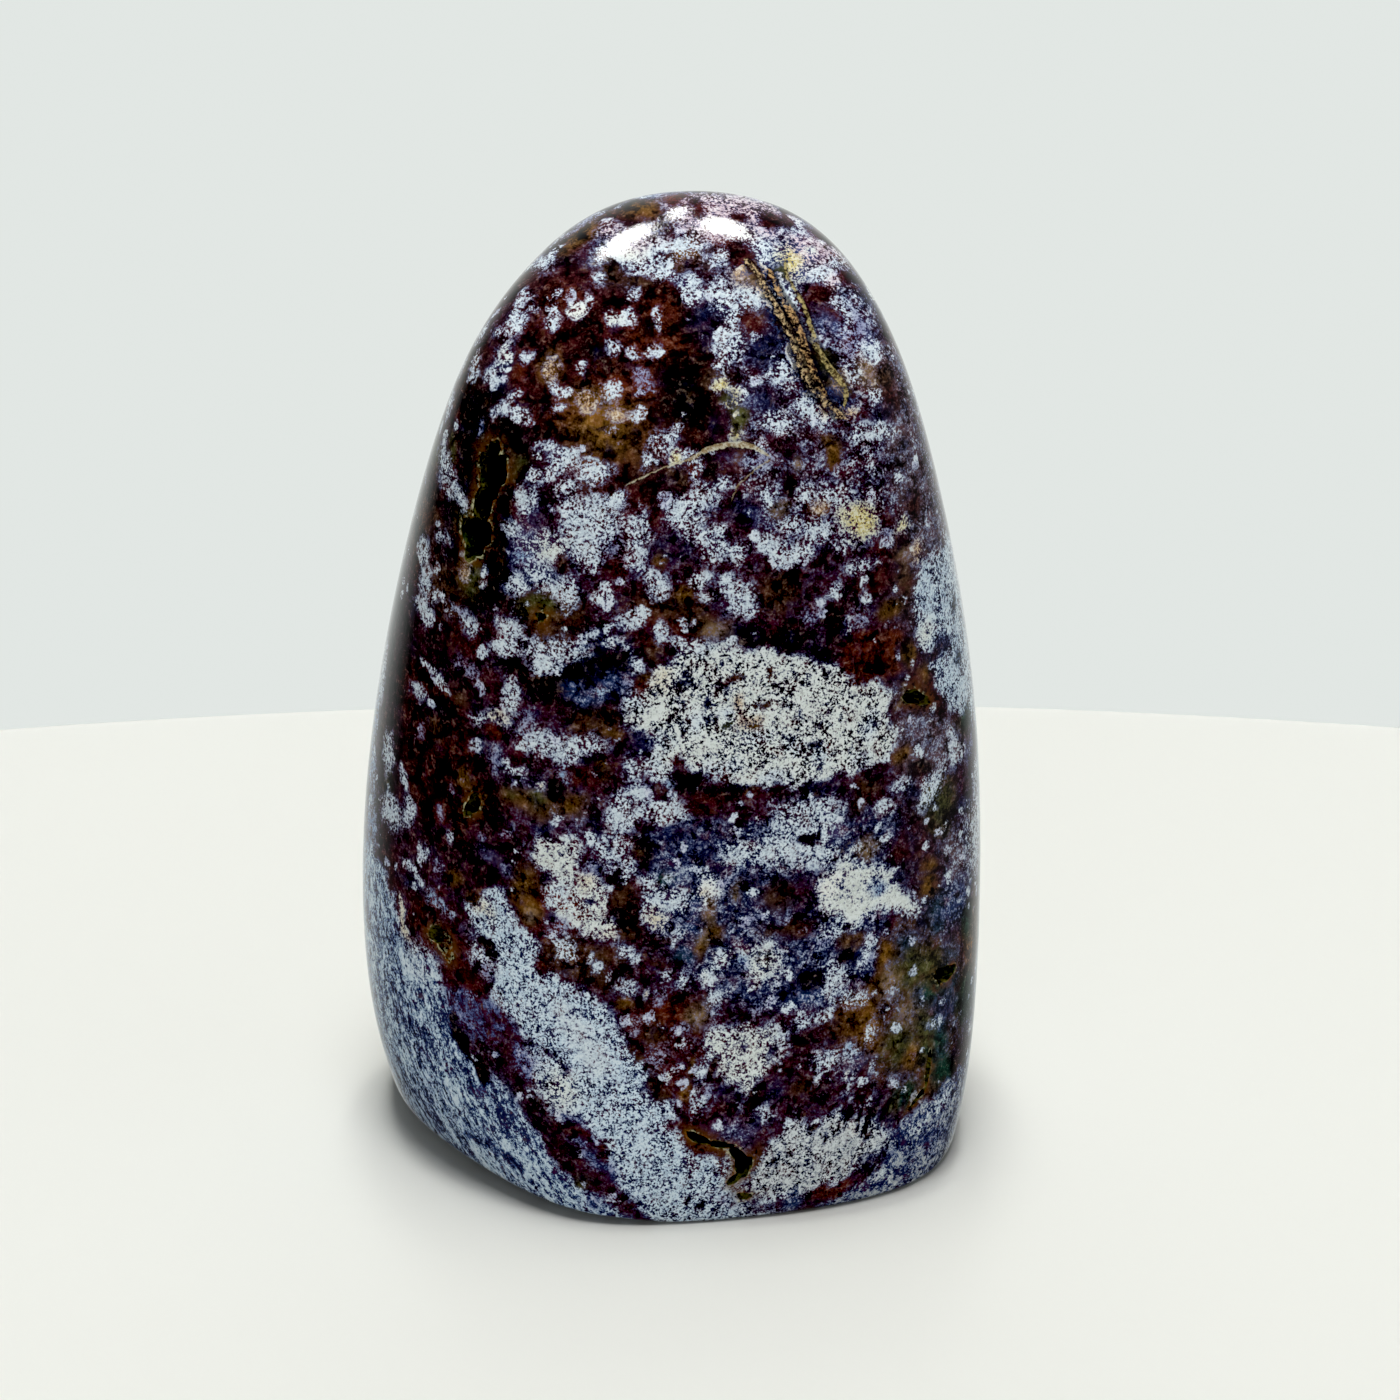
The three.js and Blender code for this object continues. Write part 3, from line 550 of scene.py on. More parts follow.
        (3.4, 79.1, 1.3, 0.6), (4.3, 77.2, 1, 0.7), (8.2, 77.4, 1.4, 1.6), (6.5, 79, 0.8, 0.8), (-7.3, 77.5, 1, 1),
        (-11.2, 78, 1, 1.6), (22.9, 91.5, 0.4, 1.4), (23.8, 93.3, 0.4, 0.4), (22.2, 94.6, 1.3, 0.7), (24.7, 94.6, 1.3, 0.7),
        (15.6, 88.5, 1.2, 0.9), (18.5, 88.3, 1.5, 0.8), (17.8, 96.7, 1, 0.8), (12.7, 96.3, 1.3, 1), (16, 98, 1.2, 1),
        (17, 84.2, 1.2, 0.8), (13.6, 85, 1.2, 0.6), (14.2, 82, 2, 0.8), (19.3, 82.1, 0.5, 0.5), (22.4, 79.6, 1.7, 0.7),
        (18.9, 77, 0.9, 0.9), (22.6, 76.2, 0.7, 0.7), (-28.2, 71.8, 0.9, 1.3), (-24.3, 73.6, 1, 0.7), (-22.7, 72.3, 1, 1.3),
        (-17.8, 73.2, 1.4, 1), (-18.4, 70.6, 1.6, 1), (-13.7, 70.6, 2.2, 1.8), (-13.9, 69, 1.6, 1), (-29.1, 62.6, 1.2, 1.1),
        (-17.8, 65.3, 1, 2.2), (-21.8, 61.4, 1.2, 0.9), (-15.4, 60, 2, 1.2), (-11.5, 58.8, 1.6, 1.1), (-22.2, 58.1, 0.8, 0.9),
        (-33.4, 53, 0.8, 2.5), (-31.4, 51, 0.6, 1.2), (-33.2, 46, 1.2, 2), (-30.7, 47.5, 0.8, 2), (-34.2, 62, 0.8, 3),
        (-4, 75, 1.4, 0.9), (-0.5, 73.5, 0.9, 1.4), (1, 72.6, 0.8, 0.6), (8.7, 75.8, 1.6, 0.8), (-10.4, 71.3, 1.4, 1.3),
        (-9.7, 60.2, 2.5, 1), (-10.8, 59, 1, 1), (-4.1, 57.3, 0.8, 1.3), (-1.5, 57.7, 1.2, 1.2), (-0.5, 56.8, 1, 0.7),
        (-3.2, 54.4, 1, 0.9), (-5.5, 53.6, 1, 0.9), (0, 52, 2, 1), (-5.5, 51.6, 1.5, 1), (30.7, 51.7, 2.2, 1.3, -55),
        (25.5, 50.9, 1.1, 0.9), (27.2, 53.2, 1, 0.8), (33.9, 55, 0.8, 1.5), (16, 51.5, 3.3, 1.5), (13, 53, 1, 0.5),
        (-25.4, 46.2, 0.6, 0.9), (-29.3, 43.3, 0.35, 0.9), (-28.5, 43.2, 0.35, 1), (-12.6, 42, 2, 1.6), (-11.9, 35.3, 0.9, 1),
        (-6.5, 48.2, 1.9, 1.5), (-4.3, 45.8, 0.8, 1.1), (-2.2, 43.7, 1, 1), (-1.5, 42, 1.2, 1), (1.4, 41.5, 1.5, 1.3),
        (1.1, 37.8, 1, 0.5), (8.4, 47.1, 1.6, 1), (12.2, 47.2, 1.6, 2), (12.8, 49.7, 1.2, 1), (1.9, 31.7, 0.7, 0.6),
        (-0.6, 31.9, 0.5, 0.4), (-4.8, 31.3, 1, 0.7), (5.5, 29.3, 1, 1), (6.7, 30.3, 0.6, 0.5), (19.3, 36.6, 1.2, 1),
        (25, 47.1, 0.7, 0.6), (19.5, 31, 1.5, 1.3), (18.7, 29, 1, 0.8), (21.9, 28, 1.5, 1), (18.6, 26.3, 1, 0.8),
        (15.7, 26, 1.2, 0.6), (-29.5, 28.5, 2, 2.6), (-22, 32.4, 1.5, 1.6), (3.8, 20.2, 0.8, 0.9), (3.6, 16.2, 1, 1.3),
        (3, 14.4, 0.3, 0.3), (10.8, 14.3, 1.5, 0.7), (13, 23.6, 0.9, 1.3), (18.3, 20.6, 1.2, 1), (17.3, 18, 0.6, 0.4),
        (19.9, 20.7, 0.6, 0.4), (21.3, 21.3, 0.8, 0.7), (24, 19, 0.7, 0.4), (22, 17.7, 0.8, 0.4), (21.3, 15.8, 0.5, 0.4),
        (23.8, 14, 0.5, 0.4), (23.8, 23, 0.7, 1.2), (26.3, 4, 0.8, 0.5), (31.8, 22, 1, 0.7), (23.9, 34.2, 0.4, 0.9, -40)],
    "warm": [
        (-10.1, 107.7, 1.1, 0.8), (-6, 107, 1, 0.9), (-18.4, 103.1, 0.9, 1.3), (16.4, 113.3, 0.6, 0.6),
        (-13.8, 82.5, 2.2, 1.4), (2, 97.3, 0.3, 0.5), (4.3, 71.4, 2.8, 1.1), (7.4, 69.5, 2, 0.8), (10, 69.5, 1.7, 1),
        (20.3, 74, 0.3, 0.3), (20.3, 72.8, 0.3, 0.4), (29.7, 70.3, 1, 1.5), (11, 33.4, 2.1, 2), (4.4, 32.1, 0.9, 0.6),
        (5.8, 34.2, 1.1, 0.7, 40), (22.2, 46.4, 0.6, 0.3), (20, 42, 2, 2), (0.2, 19.6, 0.3, 0.3),
        (-12.8, 17.9, 2, 2.5), (-11.5, 47, 1.3, 1.8), (-2.5, 40, 0.5, 0.5), (18, 65.5, 4, 2.2)],
    "cream": [
        (-19.4, 62.3, 1.2, 1.3), (-21.6, 38.6, 1, 0.7), (-1.3, 39.3, 1, 1), (21.9, 11.1, 0.5, 0.4), (20.5, 18.8, 0.6, 0.6),
        (-9.1, 43.9, 1, 0.7), (-7, 37.9, 0.8, 0.5), (-2.6, 30, 0.5, 0.5), (-14.5, 55, 0.4, 0.4), (-13, 52.1, 0.3, 0.4),
        (3.8, 42.6, 0.6, 0.5), (-0.8, 68.2, 1.4, 1.4)],
    "lavender": [
        (-2.8, 100.9, 1.4, 1.1), (20.8, 105, 2, 3), (-21.5, 95, 0.4, 1.4), (-6.1, 82.6, 1.2, 1.2), (10.7, 92.1, 1.6, 0.8),
        (25, 82.6, 0.8, 1.2), (-24.2, 67.4, 0.8, 1), (-22.5, 66.7, 1, 0.9), (-20, 57.2, 0.8, 1.8), (-28.7, 57.7, 0.4, 1.1),
        (-29.4, 56.6, 0.3, 0.6), (-25.2, 52.5, 0.5, 0.6), (-26.5, 48.9, 0.7, 1.2), (-16, 62, 0.9, 1), (-4.7, 67.6, 0.9, 1),
        (16.5, 74.9, 1.3, 1.2), (21.6, 73.7, 1, 0.8), (-23.7, 73.7, 1, 0.7), (-21.7, 47.4, 0.5, 0.5), (-18.8, 48.5, 0.7, 0.9),
        (-27, 42.3, 0.8, 0.8), (-13, 38, 1.5, 0.9), (-8.8, 45.5, 0.8, 0.7), (6.6, 44, 0.6, 0.9), (9.6, 38.8, 1, 0.7),
        (-1.2, 29.8, 0.9, 0.6), (1.2, 26, 1.3, 0.8), (-4, 26.5, 0.8, 1), (5.2, 26.8, 0.9, 0.7), (10.6, 27.9, 0.9, 0.9),
        (13.8, 38.6, 0.6, 0.5), (17.8, 35.4, 0.9, 0.5), (23.1, 32.6, 1, 0.8), (-1.3, 22.5, 1.1, 1.3), (2.7, 23.5, 0.7, 0.7),
        (5.8, 12.5, 0.5, 0.5), (7.5, 12.5, 0.5, 0.5), (-16.8, 20.5, 1.8, 1.2), (-9, 3, 1, 1), (6.5, 3.2, 1.7, 0.6, 35),
        (-21.5, 30.9, 0.5, 1), (-24.5, 24, 1.3, 1)],
    "straw": [
        (21.8, 84.9, 2, 2), (26.8, 83.5, 0.9, 0.8), (14, 112.2, 1.2, 1.5), (7.4, 98.6, 0.9, 1.1), (7.8, 95.8, 0.8, 1.3),
        (5.8, 100.4, 0.8, 0.7), (1.2, 92.6, 0.5, 0.9)],
    "sand": [
        (8.5, 110.8, 1.3, 1), (10.4, 110.4, 0.8, 0.8), (19.8, 100.4, 0.8, 1.2), (22.6, 101, 1, 1.4), (20.4, 97, 1, 0.8),
        (18, 97.4, 0.9, 0.8), (-13, 102, 1.1, 1.2), (-9, 98.6, 1.6, 0.9), (-5.4, 97.2, 1.4, 0.8), (28.4, 80.4, 0.8, 1.4),
        (17.2, 87, 0.9, 0.8), (-23.2, 78.5, 0.7, 1.2), (9.5, 62.7, 1.3, 0.7), (8.2, 64.6, 0.7, 0.9)],
    # pale pink bloom over the crown: partly the stone's own marking, partly painted glare haze round the highlights
    "blush": [
        (8, 117, 6.5, 2), (17.5, 112.5, 2.6, 1.8),
        (3, 116.4, 1.6, 1.2), (1.6, 117.8, 3, 0.5), (6.1, 117.3, 2.4, 0.5), (11.8, 115.4, 1.8, 0.8), (9.6, 117.2, 2, 0.4),
        (15.4, 113.8, 1.4, 1.2), (5.2, 115, 1.4, 1), (-7, 115.2, 1.2, 0.8), (18.2, 110.4, 1.4, 1), (-3.8, 114.6, 2.4, 0.8)],
    "white": [
        (4.7, 42.9, 1.3, 1.5), (18.6, 42.2, 1.2, 1),
        (-10, 107.8, 0.55, 0.6), (-4.8, 113.4, 2.2, 0.9), (8, 115, 1.2, 0.7)],
    "sky": [
        (-35.2, 56.5, 0.7, 3.5), (-36, 49, 0.7, 3), (-36.2, 42, 0.8, 3.6), (-16.2, 81.5, 1, 1), (-7.5, 66.8, 0.8, 0.7), (0.6, 55.5, 0.8, 0.6), (-28, 37.9, 0.8, 0.8), (-26.1, 37.3, 1, 0.6),
        (8.4, 33.8, 0.8, 0.8), (21.6, 22, 0.6, 0.8), (-11.7, 56.3, 0.5, 1), (24.5, 41, 1.2, 0.8)],
}

# Narrow bands on the front: colour, half width, and the x and z that they run through
bands = [
    ("burgundy", 0.95, [(-20.6, 25.2), (-19, 22.7), (-18.9, 18.9), (-17.1, 17), (-16.1, 14.7), (-14, 12.8), (-12.3, 9.6),
                     (-10.6, 7.9), (-8.5, 6.8), (-6.8, 5), (-4.8, 2.5), (-2.8, 0.3)]),
    ("maroon", 0.7, [(-12.5, 13.6), (-10.5, 12.8), (-8.8, 11.2), (-7.6, 10)]),
    ("black", 0.55, [(-25.8, 23.8), (-23.9, 20), (-22.5, 18.3), (-21.6, 16.4)]),
    ("navy", 0.5, [(-24.7, 7.6), (-23.2, 7.2), (-21.4, 7.6), (-19.6, 7.2), (-17.6, 5.4)]),
    ("navy", 0.4, [(-16.8, 23.8), (-14.5, 22.2), (-12.9, 21.5), (-11.4, 21)]),
    ("brown", 0.45, [(-4.8, 23.4), (-3.4, 21.9), (-2, 20.1), (-1.2, 17.4), (0.4, 16.6)]),
    ("cream", 0.3, [(-32, 36.5), (-31.8, 34), (-31.3, 31.5)]),
    ("navy", 0.35, [(-3.6, 18.9), (-3.1, 18), (-2.8, 17)]),
    ("black", 0.25, [(2.4, 3.6), (4.1, 2.4), (6, 1.9)]),
    ("black", 0.3, [(22, 11.3), (23, 10.9), (24, 10)]),
    ("black", 0.4, [(20.5, 13.4), (22.2, 12.7), (24.2, 12.4), (25.6, 11.8)]),
    ("navy", 0.3, [(8, 14.7), (9.9, 14), (11.4, 13.4)]),
    ("navy", 0.25, [(19.8, 5.6), (21, 5.7), (22.2, 6.2)]),
    ("black", 0.5, [(-21.6, 34.9), (-21, 34.3), (-20.6, 33.3)]),
    ("ice", 0.5, [(-28.1, 66.2), (-26.8, 65.2), (-25.5, 64)]),
    ("ice", 0.5, [(-18.8, 57.4), (-17.6, 56.5), (-16.3, 55.8)]),
    ("ice", 0.45, [(-31.1, 40.6), (-29.4, 39.4)]),
    ("ice", 0.4, [(-8.7, 73.1), (-6.8, 72.8), (-5, 72), (-3.1, 70.5), (-3.3, 69.3)]),
    ("ice", 0.4, [(-8.6, 34.3), (-6.9, 32.9)]),
    ("ice", 0.5, [(-5.2, 36), (-3.8, 34.2)]),
    ("ice", 0.6, [(4.7, 32.3), (6.6, 34.9)]),
    ("ice", 0.25, [(0.2, 36.7), (1.9, 35.9)]),
    ("ice", 0.3, [(-1.9, 43), (-0.2, 44)]),
    ("ice", 0.4, [(-3.6, 52.1), (-1.6, 52.8), (0.4, 53.3)]),
    ("lavender", 0.4, [(10.4, 39.5), (8.9, 38.3)]),
    ("ice", 0.4, [(23.5, 34.5), (22.2, 31.9)]),
    ("lavender", 0.4, [(3.2, 18.6), (5.5, 17.6)]),
    ("tan", 0.22, [(26.9, 65.3), (27, 63.6), (26.6, 61.8)]),
    ("ice", 0.3, [(31.8, 10.2), (33, 12)]),
    ("ice", 0.35, [(29.2, 8.6), (31.6, 10.2), (34, 12.2)]),
    ("green", 0.5, [(31, 19), (31.4, 17), (30.9, 15), (29.6, 13.6), (28.2, 12.6)]),
]

# Fine veins in the front, each a line of x and z with its half widths at its ends and its middle,
# the stretch of it, 0 to 1, over which it widens, how much it covers, how broken up it is, and its two colours
veins = {
    # an old crack that quartz has healed, and a fainter branch that turns down
    "crack": {
        "line": [(-4.8, 89.8), (-2.6, 90.8), (-0.7, 91.6), (1.2, 92.2), (2.5, 92.5), (4.4, 93.5), (5.5, 93.8), (7.2, 94.1),
                 (8.7, 94), (10, 93.6), (11.1, 93), (11.8, 92.5)],
        "halfWidths": (0.09, 0.26), "widening": (0.35, 0.6), "cover": 0.8, "broken": 0,
        "dark": (150, 126, 88), "light": (212, 210, 188)},
    "branch": {
        "line": [(11.8, 92.5), (9.6, 91.1), (7.9, 89.7), (7.2, 88)],
        "halfWidths": (0.09, 0.09), "widening": (0, 1), "cover": 0.5, "broken": 0.3,
        "dark": (176, 140, 84), "light": (206, 202, 176)},
    # tan ropes that run down to the right, with black between them
    "innerRope": {
        "line": [(8.6, 112.8), (10.1, 111.4), (12, 108.4), (13.5, 106), (14.5, 104.2), (15.2, 102.2), (16.1, 100.3),
                 (17.5, 98.4), (19, 97.2), (20.2, 96.2)],
        "halfWidths": (0.22, 0.4), "widening": (0.1, 0.7), "cover": 0.95, "broken": 1,
        "dark": (104, 70, 42), "light": (212, 188, 144)},
    "middleRope": {
        "line": [(11.4, 111.8), (12.8, 109.2), (14.2, 107), (15.2, 104.8), (16, 102.4), (16.8, 100.4), (18, 98.8)],
        "halfWidths": (0.18, 0.34), "widening": (0, 0.5), "cover": 0.9, "broken": 1,
        "dark": (84, 50, 32), "light": (202, 164, 112)},
    "outerRope": {
        "line": [(13.3, 112.6), (13.5, 110.9), (15.3, 108.3), (16.2, 105.8), (16.9, 103.7), (18.1, 102), (19.6, 100.3),
                 (20.3, 98.8), (19.8, 97.4)],
        "halfWidths": (0.14, 0.26), "widening": (0.1, 0.6), "cover": 0.85, "broken": 0.7,
        "dark": (90, 74, 40), "light": (192, 176, 118)},
}


# Round the sides and the back the same markings are strewn at random
strewn = {
    "seed": 5,
    "groundCount": 520, "groundSize": (1.6, 5.5),
    "bloomCount": 900, "bloomSize": (0.5, 2.4),
    "patchCount": 26, "patchSize": (3.5, 8),
    "groundOdds": {"black": 0.5, "maroon": 4, "burgundy": 4, "navy": 4, "brown": 3, "rust": 1, "ochre": 0.8, "violet": 1,
                   "mauve": 1, "olive": 0.5, "blue": 0.7},
    "bloomOdds": {"ice": 5, "warm": 1.5, "lavender": 3, "sky": 0.7, "cream": 0.3, "grey": 0.6},
}


# distance from points to a run of straight stretches, and how far along it the nearest place is, 0 to 1
def lineDistance(x, z, line):
    best = np.full(x.shape, 1e9)
    along = np.zeros(x.shape)
    line = np.array(line, float)
    lengths = np.linalg.norm(np.diff(line, axis=0), axis=1)
    starts = np.concatenate([[0], np.cumsum(lengths)])
    for (ax, az), (bx, bz), start, length in zip(line[:-1], line[1:], starts, lengths):
        t = np.clip(((x - ax) * (bx - ax) + (z - az) * (bz - az)) / length ** 2, 0, 1)
        distance = np.hypot(x - ax - t * (bx - ax), z - az - t * (bz - az))
        closer = distance < best
        best[closer] = distance[closer]
        along[closer] = ((start + t * length) / starts[-1])[closer]
    return best, along


# the same with a sign: above 0 on the left of the line as it runs
def sideDistance(x, z, line):
    best = np.full(x.shape, 1e9)
    signed = np.full(x.shape, 1e9)
    for (ax, az), (bx, bz) in zip(line[:-1], line[1:]):
        length = math.hypot(bx - ax, bz - az)
        t = np.clip(((x - ax) * (bx - ax) + (z - az) * (bz - az)) / length ** 2, 0, 1)
        distance = np.hypot(x - ax - t * (bx - ax), z - az - t * (bz - az))
        side = ((bx - ax) * (z - az) - (bz - az) * (x - ax)) / length
        closer = distance < best
        best[closer] = distance[closer]
        signed[closer] = (np.sign(side) * distance)[closer]
    return signed


# signed distance to an outline, below 0 inside
def outlineDistance(x, z, outline):
    distance, _ = lineDistance(x, z, outline + outline[:1])
    inside = np.zeros(x.shape, bool)
    for (ax, az), (bx, bz) in zip(outline, outline[1:] + outline[:1]):
        if az != bz:
            inside ^= ((az > z) != (bz > z)) & (x < (bx - ax) * (z - az) / (bz - az) + ax)
    return np.where(inside, -distance, distance)


# small uneven shifts, in mm, that keep the edges of markings from running smooth
def wobble(points):
    size, reach = markingEdges["wobbleSize"], markingEdges["wobbleReach"]
    noise.seed_set(markingEdges["wobbleSeed"])   # without it, the shifts follow the clock
    return np.array([noise.noise_vector(Vector(p) / size) for p in points]) * reach


# the markings at every vertex, laid down as a painter would, large before small
class Markings:
    def __init__(self, points, normals):
        self.points = points
        self.wobbled = points + wobble(points)
        self.normals = normals
        count = len(points)
        self.ground = np.tile(srgbToLinear(groundColours["burgundy"]), (count, 1))
        self.pale = np.tile(srgbToLinear(bloomColours["ice"]), (count, 1))
        self.bloom = np.full(count, 0.04)
        self.calm = np.zeros(count)
        self.streak = np.zeros(count)
        self.front = smoothStep(0.1, -0.25, normals[:, 1])
        self.order = np.argsort(points[:, 2])
        self.heights = points[self.order, 2]

    def lay(self, chosen, cover, colour, bloom):
        if colour in groundColours:
            layer, tone = self.ground, srgbToLinear(groundColours[colour])
        else:
            layer, tone = self.pale, srgbToLinear(bloomColours[colour])
        layer[chosen] += (np.array(tone) - layer[chosen]) * cover[:, None]
        self.bloom[chosen] += (bloom - self.bloom[chosen]) * cover

    # an oval in the stone's surface at a seat
    def layOval(self, seat, halfWidth, halfHeight, colour, bloom):
        point, right, up, outward = seat
        soft = markingEdges["spotSoftness"]
        reach = max(halfWidth, halfHeight) * (1 + soft) + 0.3
        low, high = np.searchsorted(self.heights, (point[2] - reach, point[2] + reach))
        chosen = self.order[low:high]
        offset = self.wobbled[chosen] - point
        near = (np.abs(offset[:, 0]) < reach) & (np.abs(offset[:, 1]) < reach)
        chosen, offset = chosen[near], offset[near]
        away = np.sqrt((offset @ right / halfWidth) ** 2 + (offset @ up / halfHeight) ** 2
                       + (offset @ outward / (2 * reach)) ** 2)
        self.lay(chosen, smoothStep(1 + soft, 1 - soft, away), colour, bloom)

    def layArea(self, colours, bloom, calm, streak, outline):
        x, z = self.wobbled[:, 0], self.wobbled[:, 2]
        soft = markingEdges["areaSoftness"]
        inside = smoothStep(soft, -soft, outlineDistance(x, z, outline)) * self.front
        chosen = np.nonzero(inside > 0)[0]
        cover = inside[chosen]
        for colour in colours.split():
            self.lay(chosen, cover, colour, bloom)
        self.calm[chosen] += (calm - self.calm[chosen]) * cover
        self.streak[chosen] += (streak - self.streak[chosen]) * cover

    def layBand(self, colour, halfWidth, line, bloom):
        x, z = self.wobbled[:, 0], self.wobbled[:, 2]
        soft = markingEdges["bandSoftness"]
        distance, _ = lineDistance(x, z, line)
        inside = smoothStep(halfWidth * (1 + soft), halfWidth * (1 - soft), distance) * self.front
        chosen = np.nonzero(inside > 0)[0]
        self.lay(chosen, inside[chosen], colour, bloom)


def coverOf(colour):
    return groundCover[colour] if colour in groundCover else bloomCover[colour]


def strewOvals(markings, dice, count, sizes, odds, everywhere):
    free = np.nonzero(everywhere | (markings.normals[:, 1] > -0.3))[0]
    for _ in range(count):
        at = free[dice.randrange(len(free))]
        outward = markings.normals[at]
        side = unit(np.cross(outward, [dice.uniform(-1, 1), dice.uniform(-1, 1), dice.uniform(-1, 1)]))
        seat = (markings.points[at], side, np.cross(outward, side), outward)
        size = sizes[0] + (sizes[1] - sizes[0]) * dice.random() ** 2
        colour = dice.choices(list(odds), list(odds.values()))[0]
        markings.layOval(seat, size, size * dice.uniform(0.45, 1), colour, coverOf(colour))


def layMarkings(points, normals):
    markings = Markings(points, normals)
    dice = random.Random(strewn["seed"])
    strewOvals(markings, dice, strewn["groundCount"], strewn["groundSize"], strewn["groundOdds"], True)
    strewOvals(markings, dice, strewn["patchCount"], strewn["patchSize"], {"ice": 3, "warm": 1, "lavender": 1}, False)
    strewOvals(markings, dice, strewn["groundCount"], strewn["groundSize"], strewn["groundOdds"], False)
    strewOvals(markings, dice, strewn["bloomCount"], strewn["bloomSize"], strewn["bloomOdds"], False)
    for area in areas:
        markings.layArea(*area)
    ovals = [(colour, *spot) for colour, group in spots.items() for spot in group]
    ovals.sort(key=lambda oval: -oval[3] * oval[4])
    for colour, x, z, halfWidth, halfHeight, *turn in ovals:
        point, right, up, outward = seatFrame(x, z, turn[0] if turn else 0, -1)
        widthSeen = max(0.35, math.hypot(right[0], right[2]))
        heightSeen = max(0.35, math.hypot(up[0], up[2]))
        seat = (point, right, up, outward)
        markings.layOval(seat, halfWidth / widthSeen, halfHeight / heightSeen, colour, coverOf(colour))
    for colour, halfWidth, line in bands:
        markings.layBand(colour, halfWidth, line, coverOf(colour))
    return markings


# how near each vertex is to the mouth of a pit, in mm, below 0 inside
def pitDistance(points):
    nearest = np.full(len(points), 9.0)
    for pits, side in ((frontPits, -1), (backPits, 1)):
        for x, z, width, height, turn, depth, _ in pits:
            point, right, up, outward = seatFrame(x, z, turn, side)
            offset = points - point
            close = np.nonzero(np.linalg.norm(offset, axis=1) < max(width, height) + 3)[0]
            across = offset[close] @ right / (width / 2)
            along = offset[close] @ up / (height / 2)
            share = np.hypot(across, along)
            swell = pitSwell(np.arctan2(along, across), 0, x + 2 * z)
            distance = (share / swell - 1) * np.hypot(offset[close] @ right, offset[close] @ up) / np.maximum(share, 1e-6)
            nearest[close] = np.minimum(nearest[close], distance)
    return nearest


# The polished jasper

jasperFinish = {
    "warpSize": 2.2, "warpReach": 1.3,     # mm, how the edges of the markings wander
    "clusterSize": 3.0, "clusterShare": 0.22,
    "mediumSize": 1.1, "mediumShare": 0.34,
    "grainSize": 0.48, "grainShare": 0.4,
    "fineSize": 0.26, "fineShare": 0.48,
    "streakLength": 6.0, "streakWidth": 0.42, "streakLean": -58, "streakShare": 0.66,
    "laneWidth": 1.6, "laneShare": 0.48,
    "puffSpacing": 2.1, "puffSmallest": 0.14, "puffSpread": 0.3, "puffShare": 0.5,   # round puffs in the ground
    "gatherSize": 1.9, "gatherShare": 0.16,
    "wormSize": 0.6, "wormShare": 0.7,
    "tintSize": 1.8, "earthSize": 1.5,
    "coolHaze": (44, 80, 142), "warmHaze": (112, 66, 84),   # the half tones round the blooms
    "gloss": 0.06,
    "specular": 0.4,
}


